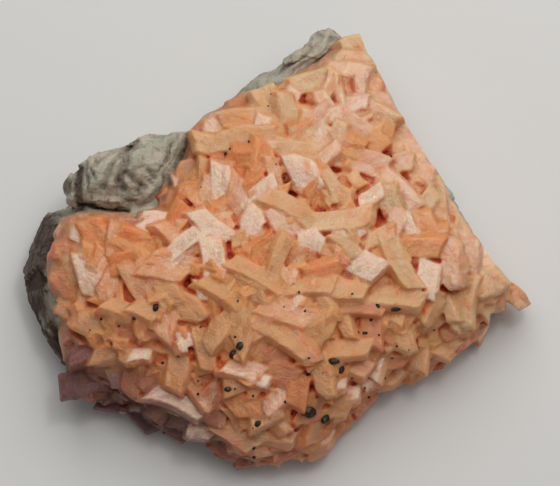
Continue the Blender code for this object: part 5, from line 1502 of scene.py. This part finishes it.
def averaged(values, ends, rounds, share=0.5):
    """Values of points, each drawn towards the mean of its neighbours in every round."""
    count = len(values)
    neighbours = np.bincount(ends.ravel(), minlength=count)[:, None]
    first, second = ends.T
    for _ in range(rounds):
        total = gathered(first, values[second], count) + gathered(second, values[first], count)
        values = values + share * (total / neighbours - values)
    return values


def near_margin(points):
    """How near these points are to a smooth margin of the crust, from 0 to 1."""
    return np.maximum(near_line(points, BROKEN_EDGE, BROKEN_REACH), near_line(points, THIN_EDGE, THIN_REACH))


def fusing(points):
    """How much the crystals run together at these points, from 0 to 1."""
    return np.maximum(grown_together(points), near_margin(points))[:, None]


def thin_out(body, most):
    """Thin out the mesh of a body to about so many triangles."""
    count = sum(len(face.vertices) - 2 for face in body.data.polygons)
    step = body.modifiers.new("thin", "DECIMATE")
    step.ratio = min(1.0, most / count)
    body.data = made_real(body)


def evened(body, size):
    """Give a body an even mesh with steps of this size."""
    step = body.modifiers.new("even", "REMESH")
    step.mode = "VOXEL"
    step.voxel_size = size * METRES
    body.data = made_real(body)


def dress(body, material):
    """Give a body its only material, and smooth shading."""
    body.data.materials.clear()
    body.data.materials.append(material)
    body.data.shade_smooth()


def soften(body):
    """Even out the mesh of the crystals and round them off, most where they run together."""
    evened(body, CRUST_VOXEL)
    ends = edge_ends(body.data)
    points = averaged(coordinates(body.data), ends, SMOOTH_ROUNDS)
    points = averaged(points, ends, FUSED_ROUNDS, 0.5 * fusing(points))
    move_points(body.data, points)
    body.data.update()
    thin_out(body, CRUST_TRIANGLES)


def carry_over(mesh, source, grids):
    """Give a mesh the colours with their painted shade, the pearly sheen and the grids of the crystals where
    its faces lie.
    """
    surface = surface_of(coordinates(source), [face.vertices for face in source.polygons])
    points = coordinates(mesh)
    corners = corner_points(mesh)
    starts, totals = face_corners(mesh)
    centres = np.add.reduceat(points[corners], starts) / totals[:, None]
    nearest = np.array([surface.find_nearest(Vector(centre))[2] for centre in centres.tolist()])
    source_starts, source_totals = face_corners(source)
    colours = fetched(source.attributes["tone"].data, "color", 4)
    pearls = fetched(source.attributes["pearl"].data, "value")
    numbers = fetched(source.attributes["shell"].data, "value", 1, np.int32)
    values = np.column_stack([colours, pearls])
    values = np.add.reduceat(values, source_starts) / source_totals[:, None]
    values = np.repeat(values[nearest], totals, axis=0)
    values = gathered(corners, values, len(points)) / np.bincount(corners, minlength=len(points))[:, None]
    ends = edge_ends(mesh)
    values = averaged(values, ends, TONE_ROUNDS)
    values = averaged(values, ends, FUSED_TONE_ROUNDS, 0.5 * fusing(points))
    store(mesh, "tone", "FLOAT_COLOR", values[:, :4])
    store(mesh, "pearl", "FLOAT", values[:, 4])
    own_grids = grids[np.repeat(numbers[nearest], totals)]
    lay = np.einsum("ci,cij->cj", with_one(points[corners]), own_grids)
    store(mesh, "lay", "FLOAT_VECTOR", lay, "CORNER")


def cut_away(body, tool):
    """Cut a tool out of a body, and drop the tool."""
    step = body.modifiers.new("cut", "BOOLEAN")
    step.operation = "DIFFERENCE"
    step.solver = "MANIFOLD"
    step.object = tool
    body.data = made_real(body)
    bpy.data.objects.remove(tool)


def rock_cutter(rock):
    """Simpler copy of the rock, grown outwards by the contact gap."""
    cutter = shown("rock_cutter", rock.data.copy())
    thin_out(cutter, CUTTER_TRIANGLES)
    points = coordinates(cutter.data) + CONTACT_GAP * normals(cutter.data)
    move_points(cutter.data, points)
    return cutter


def space_beyond(margin):
    """Space beyond a clean margin of the crust, with a ribbed face."""
    spots = []
    for (column, row), (next_column, next_row) in zip(margin.line, margin.line[1:]):
        steps = max(1, round(math.hypot(next_column - column, next_row - row) * VIEW_STEP / MARGIN_STEP))
        for step in range(steps):
            share = step / steps
            spots.append((column + (next_column - column) * share, row + (next_row - row) * share))
    spots.append(margin.line[-1])
    low, high = MARGIN_HEIGHTS
    shape = bmesh.new()
    rows = []
    for level in np.linspace(low, high, round((high - low) / MARGIN_STEP)).tolist():
        rows.append([])
        for column, row in spots:
            point = in_view(column, row, level) - margin.lean * (high - level) * margin.outward
            rows[-1].append(shape.verts.new(roughened(point, MARGIN_ROUGHNESS, MARGIN_RIB) * METRES))
    for lower, upper in zip(rows, rows[1:]):
        for corners in zip(lower, lower[1:], upper[1:], upper):
            shape.faces.new(corners)
    drawn_out = bmesh.ops.extrude_face_region(shape, geom=shape.faces[:] + shape.edges[:] + shape.verts[:])
    moved = [part for part in drawn_out["geom"] if isinstance(part, bmesh.types.BMVert)]
    bmesh.ops.translate(shape, vec=margin.outward * MARGIN_DEPTH * METRES, verts=moved)
    bmesh.ops.recalc_face_normals(shape, faces=shape.faces[:])
    return finished(shape, "space_beyond")


def space_below():
    """Block of space under the lowest crystals."""
    shape = bmesh.new()
    bmesh.ops.create_cube(shape, size=BLOCK_SIZE)
    middle = REST_CLEARANCE * METRES - 0.5 * BLOCK_SIZE
    bmesh.ops.translate(shape, vec=(0.0, 0.0, middle), verts=shape.verts[:])
    return finished(shape, "space_below")


def sky_directions(count):
    """Evenly spread directions over a hemisphere around +Z, more of them near its top."""
    directions = []
    for index in range(count):
        part = (index + 0.5) / count
        flat = math.sqrt(part)
        turn = index * math.pi * (3.0 - math.sqrt(5.0))
        directions.append((flat * math.cos(turn), flat * math.sin(turn), math.sqrt(1.0 - part)))
    return np.array(directions)


def add_sunk(mesh):
    """Store how far each point lies below the general surface of the crust, in millimetres."""
    points = coordinates(mesh)
    offsets = points - np.array(CORE)
    bearings = np.arctan2(offsets[:, 1], offsets[:, 0])
    turns = np.linspace(-math.pi, math.pi, BEARING_STEPS)
    reach = np.interp(bearings, turns, [CRUST_EDGE.reach(turn) for turn in turns])
    rim = np.interp(bearings, turns, [rim_height(turn) for turn in turns])
    share = np.clip(np.hypot(offsets[:, 0], offsets[:, 1]) / reach, 0.0, 1.0)
    dome = rim + (CRUST_PEAK - rim) * np.sqrt(1.0 - share ** DOME_POWER)
    sunk = np.where(share < SUNK_EDGE, dome - points[:, 2], 1.0)
    sunk *= 1.0 - MARGIN_SHALLOW * near_margin(points)
    sunk *= 1.0 - TOGETHER_SHALLOW * grown_together(points)
    store(mesh, "sunk", "FLOAT", sunk)


def add_openness(mesh):
    """Store how open each point is to its surroundings, from 0 in a crevice to 1 on a tip."""
    points = coordinates(mesh)
    outward = normals(mesh)
    surface = surface_of(points, [face.vertices for face in mesh.polygons])
    sky = sky_directions(OPEN_RAYS)
    openness = np.empty(len(points))
    for index, (point, normal) in enumerate(zip(points, outward)):
        side = np.cross(normal, (0.0, 0.0, 1.0) if abs(normal[2]) < 0.9 else (1.0, 0.0, 0.0))
        side /= np.linalg.norm(side)
        rays = sky @ np.array([side, np.cross(normal, side), normal])
        start = Vector(point + OPEN_START * normal)
        total = 0.0
        for ray in rays:
            distance = surface.ray_cast(start, Vector(ray), OPEN_REACH)[3]
            total += 1.0 if distance is None else distance / OPEN_REACH
        openness[index] = total / OPEN_RAYS
    store(mesh, "openness", "FLOAT", openness)


def principled(name):
    """New material, its network and its shader."""
    material = bpy.data.materials.new(name)
    material.use_nodes = True
    network = Network(material.node_tree)
    return material, network, material.node_tree.nodes["Principled BSDF"]


def mixed(net, factor, first, second):
    """Mix of two colours."""
    def filled(colour):
        return (*colour, 1.0) if isinstance(colour, tuple) else colour
    node = net.node("ShaderNodeMix", {"data_type": "RGBA", "clamp_factor": True},
                    {"Factor_Float": factor, "A_Color": filled(first), "B_Color": filled(second)})
    return net.socket(node.outputs, "Result_Color")


def dolomite():
    """Satin translucent crystals with painted pearly sheen on their faces and painted orange glow and shade
    in crevices.
    """
    material, net, shader = principled("dolomite_crystal")
    tone = net.stored("tone", "Color")
    lay = net.stored("lay", "Vector")
    place = net.node("ShaderNodeTexCoord").outputs["Object"]
    openness = net.stored_number("openness")
    pearl = net.stored_number("pearl")
    sunk = net.stored_number("sunk")
    long_way = net.vector("MULTIPLY", lay, {"Vector_001": LONG_WAY})
    patches = net.noise(lay, 0.6, 3.0)
    clouds = net.noise(place, 260.0, 3.0)
    fine = net.noise(lay, 2.6, 4.0)
    streaks = net.noise(long_way, 1.0, 3.0)
    glow = net.noise(lay, 0.24, 3.0)
    tiles = net.node("ShaderNodeTexVoronoi", {"feature": "F1", "distance": "CHEBYCHEV"},
                     {"Vector": lay, "Scale": 2.2, "Randomness": 0.8}).outputs["Color"]
    chips = net.node("ShaderNodeTexVoronoi", {"feature": "F1"},
                     {"Vector": long_way, "Scale": 0.55}).outputs["Color"]
    tile = net.channel(tiles, "Red")
    chip = net.channel(chips, "Green")
    # lit follows the green of the stored colour, which is low where painted shade darkens it, and there it
    # holds back the mixes below
    lit = net.channel(tone, "Green").soft(0.05, 0.26)
    # Painted pearly sheen: a pearly white highlight mixed into the colour of the faces, which also makes
    # them glossier and tilts their fine facets
    sheen = (pearl * 1.6 - 1.65 + patches * 1.1 + clouds * 0.7 + tile * 0.15 + chip * 0.3).limited()
    spark = sheen * tile.soft(0.70, 0.90)
    # Masks for the painted shade and glow: closed-in points, points next to them, and points far below the
    # general surface
    crevice = (1.0 - openness).soft(0.22, 0.60)
    crevice_glow_mask = (1.0 - openness).soft(0.06, 0.42)
    deep = (sunk + glow * 1.5 - 0.75).soft(0.9, 3.4)
    body = mixed(net, lit * clouds.soft(0.46, 0.66) * 0.5, tone, PALE)
    # Painted glow: orange next to the crevices, with orange blotches
    body = mixed(net, lit * (glow.soft(0.46, 0.70) * 0.3 + crevice_glow_mask * 0.66), body, PAINTED_GLOW)
    body = mixed(net, lit * (streaks.soft(0.45, 0.65) * 0.2 + chip * 0.2), body, GREYED)
    body = mixed(net, sheen * 0.85, body, PAINTED_PEARL_SHEEN)
    # Painted shade: deep orange far below the general surface, and orange-red in the crevices
    body = mixed(net, lit * deep * 0.8, body, PAINTED_DEEP_SHADE)
    body = mixed(net, (0.4 + 0.6 * lit) * crevice * 0.85, body, PAINTED_CREVICE_SHADE)
    relief = net.bump(fine * 1.2 + patches * 2.0 + glow * 3.0, 0.85, 0.0004)
    tilts = net.vector("ADD", net.tilt(chips, 0.45), {"Vector_001": net.tilt(tiles, 0.12 + 0.30 * sheen)})
    facets = net.vector("ADD", relief, {"Vector_001": tilts})
    net.feed(shader.inputs["Base Color"], body)
    net.feed(shader.inputs["Roughness"], 0.42 - 0.18 * sheen + 0.10 * patches - 0.16 * spark)
    net.feed(shader.inputs["Normal"], net.vector("NORMALIZE", facets, {}))
    shader.inputs["Subsurface Weight"].default_value = 1.0
    shader.inputs["Subsurface Radius"].default_value = LIGHT_REACH
    shader.inputs["Subsurface Scale"].default_value = LIGHT_DEPTH
    shader.inputs["IOR"].default_value = REFRACTION
    return material


def host_rock():
    """Dull pale grey-green rock with dark purple-brown streaks and stains, and painted shade in its hollows.
    """
    material, net, shader = principled("host_rock")
    place = net.node("ShaderNodeTexCoord").outputs["Object"]
    relief = net.stored_number("relief")
    stain = net.stored_number("stain")
    grain = net.noise(place, 1700.0, 5.0)
    clouds = net.noise(place, 190.0, 4.0)
    streaks = net.noise(net.stored("bedding", "Vector"), 1.0, 4.0, {"Distortion": 0.6})
    rough = net.noise(place, 430.0, 6.0, {"Roughness": 0.62})
    # Painted shade: the hollows of the relief are darkened; the stroke darkness is partly painted shadow,
    # and the low spots of the fine bumps are darker
    hollow_shade = (0.5 - relief).soft(0.0, 0.3)
    dark = (stain * (0.4 + 0.9 * rough) + streaks.soft(0.52, 0.72) * 0.3 + hollow_shade * 0.3
            + (0.5 - rough).soft(0.03, 0.16) * 0.4).limited()
    body = mixed(net, clouds.soft(0.42, 0.62), ROCK_PALE, ROCK_GREEN)
    body = mixed(net, 0.45 * grain.soft(0.40, 0.7), body, ROCK_WHITE)
    net.feed(shader.inputs["Base Color"], mixed(net, dark, body, ROCK_DARK))
    net.feed(shader.inputs["Roughness"], 0.78 + 0.15 * grain)
    net.feed(shader.inputs["Normal"], net.bump(0.5 * grain + 0.6 * streaks + 2.4 * rough, 0.8, 0.0006))
    return material


def build_rock(node, material):
    """Host rock: the solid's own form with a broken, bedded surface."""
    shape = bmesh.new()
    shape.from_mesh(node.data)
    bmesh.ops.remove_doubles(shape, verts=shape.verts[:], dist=JOINED * METRES)
    rock = finished(shape, "matrix")
    evened(rock, ROCK_VOXEL)
    rock.data.name = rock.name
    carve_rock(rock.data)
    dress(rock, material)
    return rock


def facet(point, size, slope):
    """Height of a broken face at a point: each face is a plane of its own slope."""
    spot = point / size
    middle = noise.voronoi(spot)[1][0]
    fall = noise.cell_vector(middle * FACET_DRAW) - Vector((0.5, 0.5, 0.5))
    return slope * size * (spot - middle).dot(fall) * 2.0


def carve_rock(mesh):
    """Give the rock its bedding, ridges and rough breaks."""
    points = coordinates(mesh)
    outward = normals(mesh)
    offsets = points - np.array(CORE)
    bearings = np.arctan2(offsets[:, 1], offsets[:, 0])
    turns = np.linspace(-math.pi, math.pi, BEARING_STEPS)
    reach = np.interp(bearings, turns, [ROCK_EDGE.reach(turn) for turn in turns])
    inset = reach - np.hypot(offsets[:, 0], offsets[:, 1])
    bedding = np.column_stack([1.1 * inset + 0.8 * points[:, 2], 9.0 * bearings, 0.2 * points[:, 2]])
    relief = np.empty(len(points))
    for index, point in enumerate(points):
        spot = Vector(point)
        broken = sum(facet(spot, size, slope) for size, slope in FACET_SIZES)
        rough = noise.fractal(spot / 4.0, 0.8, 2.1, 4)
        ledge = noise.noise(Vector(bedding[index]) * 0.9)
        relief[index] = broken + ROCK_ROUGHNESS * (0.6 * rough + 0.7 * ledge)
    raised = np.zeros(len(points))
    stain = np.zeros(len(points))
    upward = np.clip(outward @ np.array(TO_EYE) * 2.0, 0.0, 1.0)
    # Along each stroke: a raise or a cut, and darkness that is partly the rock's own staining and partly
    # painted shadow
    for line, reach, height, darkness in STROKES:
        near = near_line(points, line, reach)
        raised += near * height * upward
        stain += near * darkness
    moved = points + outward * relief[:, None] + np.outer(raised, np.array(TO_EYE))
    low = points[:, 2] < 0.8
    moved[:, 2] = np.where(low, 0.0, np.maximum(moved[:, 2], 0.0))
    move_points(mesh, moved)
    store(mesh, "bedding", "FLOAT_VECTOR", bedding)
    store(mesh, "relief", "FLOAT", 0.5 + 0.5 * relief)
    store(mesh, "stain", "FLOAT", stain)
    mesh.update()


def sulphide():
    """Dark resinous grains with a brassy glint."""
    material, net, shader = principled("sulphide_grain")
    spots = net.noise(net.node("ShaderNodeTexCoord").outputs["Object"], 1500.0, 3.0)
    net.feed(shader.inputs["Base Color"], mixed(net, spots.soft(0.48, 0.70), GRAIN_DARK, GRAIN_BRASSY))
    net.feed(shader.inputs["Roughness"], 0.34 + 0.25 * spots)
    net.feed(shader.inputs["Metallic"], 0.25 + 0.4 * spots)
    return material


def build_grain(node, material, surface):
    """Sulphide grain: the solid's own corners, with worn edges, set where it shows in the crystals."""
    shape = bmesh.new()
    shape.from_mesh(node.data)
    bmesh.ops.remove_doubles(shape, verts=shape.verts[:], dist=JOINED * METRES)
    bmesh.ops.bevel(
        shape, geom=shape.edges[:], offset=GRAIN_EDGE * METRES, segments=1, affect="EDGES", profile=0.6)
    grain = finished(shape, node.name + "_worn")
    points = coordinates(grain.data)
    middle = points.mean(axis=0)
    ray = (Vector(middle) - EYE - CENTRING).normalized()
    hit = surface.ray_cast(EYE + CENTRING, ray)[0]
    move_points(grain.data, np.array(hit + GRAIN_SINK * ray) + GRAIN_GROWTH * (points - middle))
    grain.data.materials.append(material)
    return grain


def speck_tree(material):
    """Tree that sets a small grain on each point, turned by chance and as wide as the point says."""
    kinds = {"Shape": "NodeSocketObject", "Flatness": "NodeSocketFloat", "Seed": "NodeSocketInt"}
    net, given, out, identifiers = geometry_tree("specks", kinds)
    widths = net.node("GeometryNodeInputNamedAttribute", {"data_type": "FLOAT"}, {"Name": "width"})
    width = net.amount(widths, "Attribute")
    turn = net.by_chance((0.0, 0.0, 0.0), (6.3, 6.3, 6.3), given.outputs["Seed"])
    rotation = net.node("FunctionNodeEulerToRotation", {}, {"Euler": turn})
    flat = width * net.amount(given, "Flatness")
    size = net.node("ShaderNodeCombineXYZ", {}, {"X": width, "Y": flat, "Z": flat})
    shape = net.node("GeometryNodeObjectInfo", {}, {"Object": given.outputs["Shape"]})
    spots = net.node("GeometryNodeMeshToPoints", {}, {"Mesh": given.outputs["Mesh"]})
    placed = net.node("GeometryNodeInstanceOnPoints", {},
                      {"Points": spots.outputs[0], "Instance": shape.outputs["Geometry"],
                       "Rotation": rotation.outputs[0], "Scale": size.outputs[0]})
    net.end(out, placed.outputs[0], material)
    return net, identifiers


def build_specks(material, surface):
    """Small sulphide grains, half sunk in the crystals where they show."""
    spots = []
    widths = []
    for column, row, width in SPECKS:
        ray = (in_view(column, row, 0.0) - EYE - CENTRING).normalized()
        hit = surface.ray_cast(EYE + CENTRING, ray)[0]
        if hit is not None:
            spots.append((hit + SPECK_SINK * ray) * METRES)
            widths.append(SPECK_GROWTH * width * VIEW_STEP * METRES)
    mesh = bpy.data.meshes.new("speck_places")
    mesh.from_pydata(spots, [], [])
    store(mesh, "width", "FLOAT", widths)
    specks = shown("sulphide_specks", mesh)
    shape = bmesh.new()
    bmesh.ops.create_icosphere(shape, subdivisions=1, radius=0.5)
    for vertex in shape.verts:
        vertex.co *= 1.0 + SPECK_ROUGHNESS * noise.noise(vertex.co * 3.0)
    speck = finished(shape, "speck")
    net, identifiers = speck_tree(material)
    specks.data = grown(specks, net, identifiers, {
        "Shape": speck, "Flatness": SPECK_FLATNESS, "Seed": SPECK_SEED})
    specks.data.name = specks.name
    bpy.data.objects.remove(speck)
    return specks


def place_light(name, energy, size, direction):
    """Soft square light that shines on the specimen from one direction."""
    lamp = bpy.data.lights.new(name, "AREA")
    lamp.energy = energy
    lamp.size = size
    thing = shown(name, lamp)
    towards = Vector(direction).normalized()
    thing.location = (AIM + CENTRING) * METRES + towards * LIGHT_DISTANCE
    thing.rotation_euler = (-towards).to_track_quat("-Z", "Y").to_euler()


def set_stage():
    """Pale floor, soft studio light and the camera at the photograph's angle."""
    shape = bmesh.new()
    bmesh.ops.create_grid(shape, x_segments=1, y_segments=1, size=FLOOR_SIZE)
    floor = finished(shape, "floor")
    material, net, shader = principled("floor")
    shader.inputs["Base Color"].default_value = FLOOR_COLOUR
    shader.inputs["Roughness"].default_value = FLOOR_ROUGHNESS
    floor.data.materials.append(material)
    world = bpy.data.worlds.new("studio")
    world.use_nodes = True
    world.node_tree.nodes["Background"].inputs["Color"].default_value = STUDIO_COLOUR
    world.node_tree.nodes["Background"].inputs["Strength"].default_value = STUDIO_STRENGTH
    bpy.context.scene.world = world
    for light in LIGHTS:
        place_light(*light)
    camera = bpy.data.cameras.new("camera")
    camera.sensor_width = SENSOR
    camera.lens = SENSOR * VIEW_DISTANCE / (VIEW_WIDTH * VIEW_STEP)
    camera.clip_start = NEAREST_SEEN
    holder = shown("camera", camera)
    holder.location = (AIM + CENTRING + VIEW_DISTANCE * TO_EYE) * METRES
    holder.rotation_euler = (-TO_EYE).to_track_quat("-Z", "Y").to_euler()
    bpy.context.scene.camera = holder
    bpy.context.scene.view_settings.view_transform = "Standard"


def main():
    """Dress the whole specimen."""
    noise.seed_set(NOISE_SEED)
    rock = build_rock(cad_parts["matrix_rock"], host_rock())
    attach(rock, "root")
    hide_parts("matrix_rock")
    crust = build_crust(dolomite(), rock)
    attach(crust, "root")
    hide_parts("dolomite_crust")
    brassy = sulphide()
    surface = surface_of(coordinates(crust.data), [face.vertices for face in crust.data.polygons])
    specks = build_specks(brassy, surface)
    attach(specks, "root")
    for name, node in sorted(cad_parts.items()):
        if name.startswith("sulphide_grain"):
            grain = build_grain(node, brassy, surface)
            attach(grain, "root")
            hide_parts(name)
    set_stage()


main()
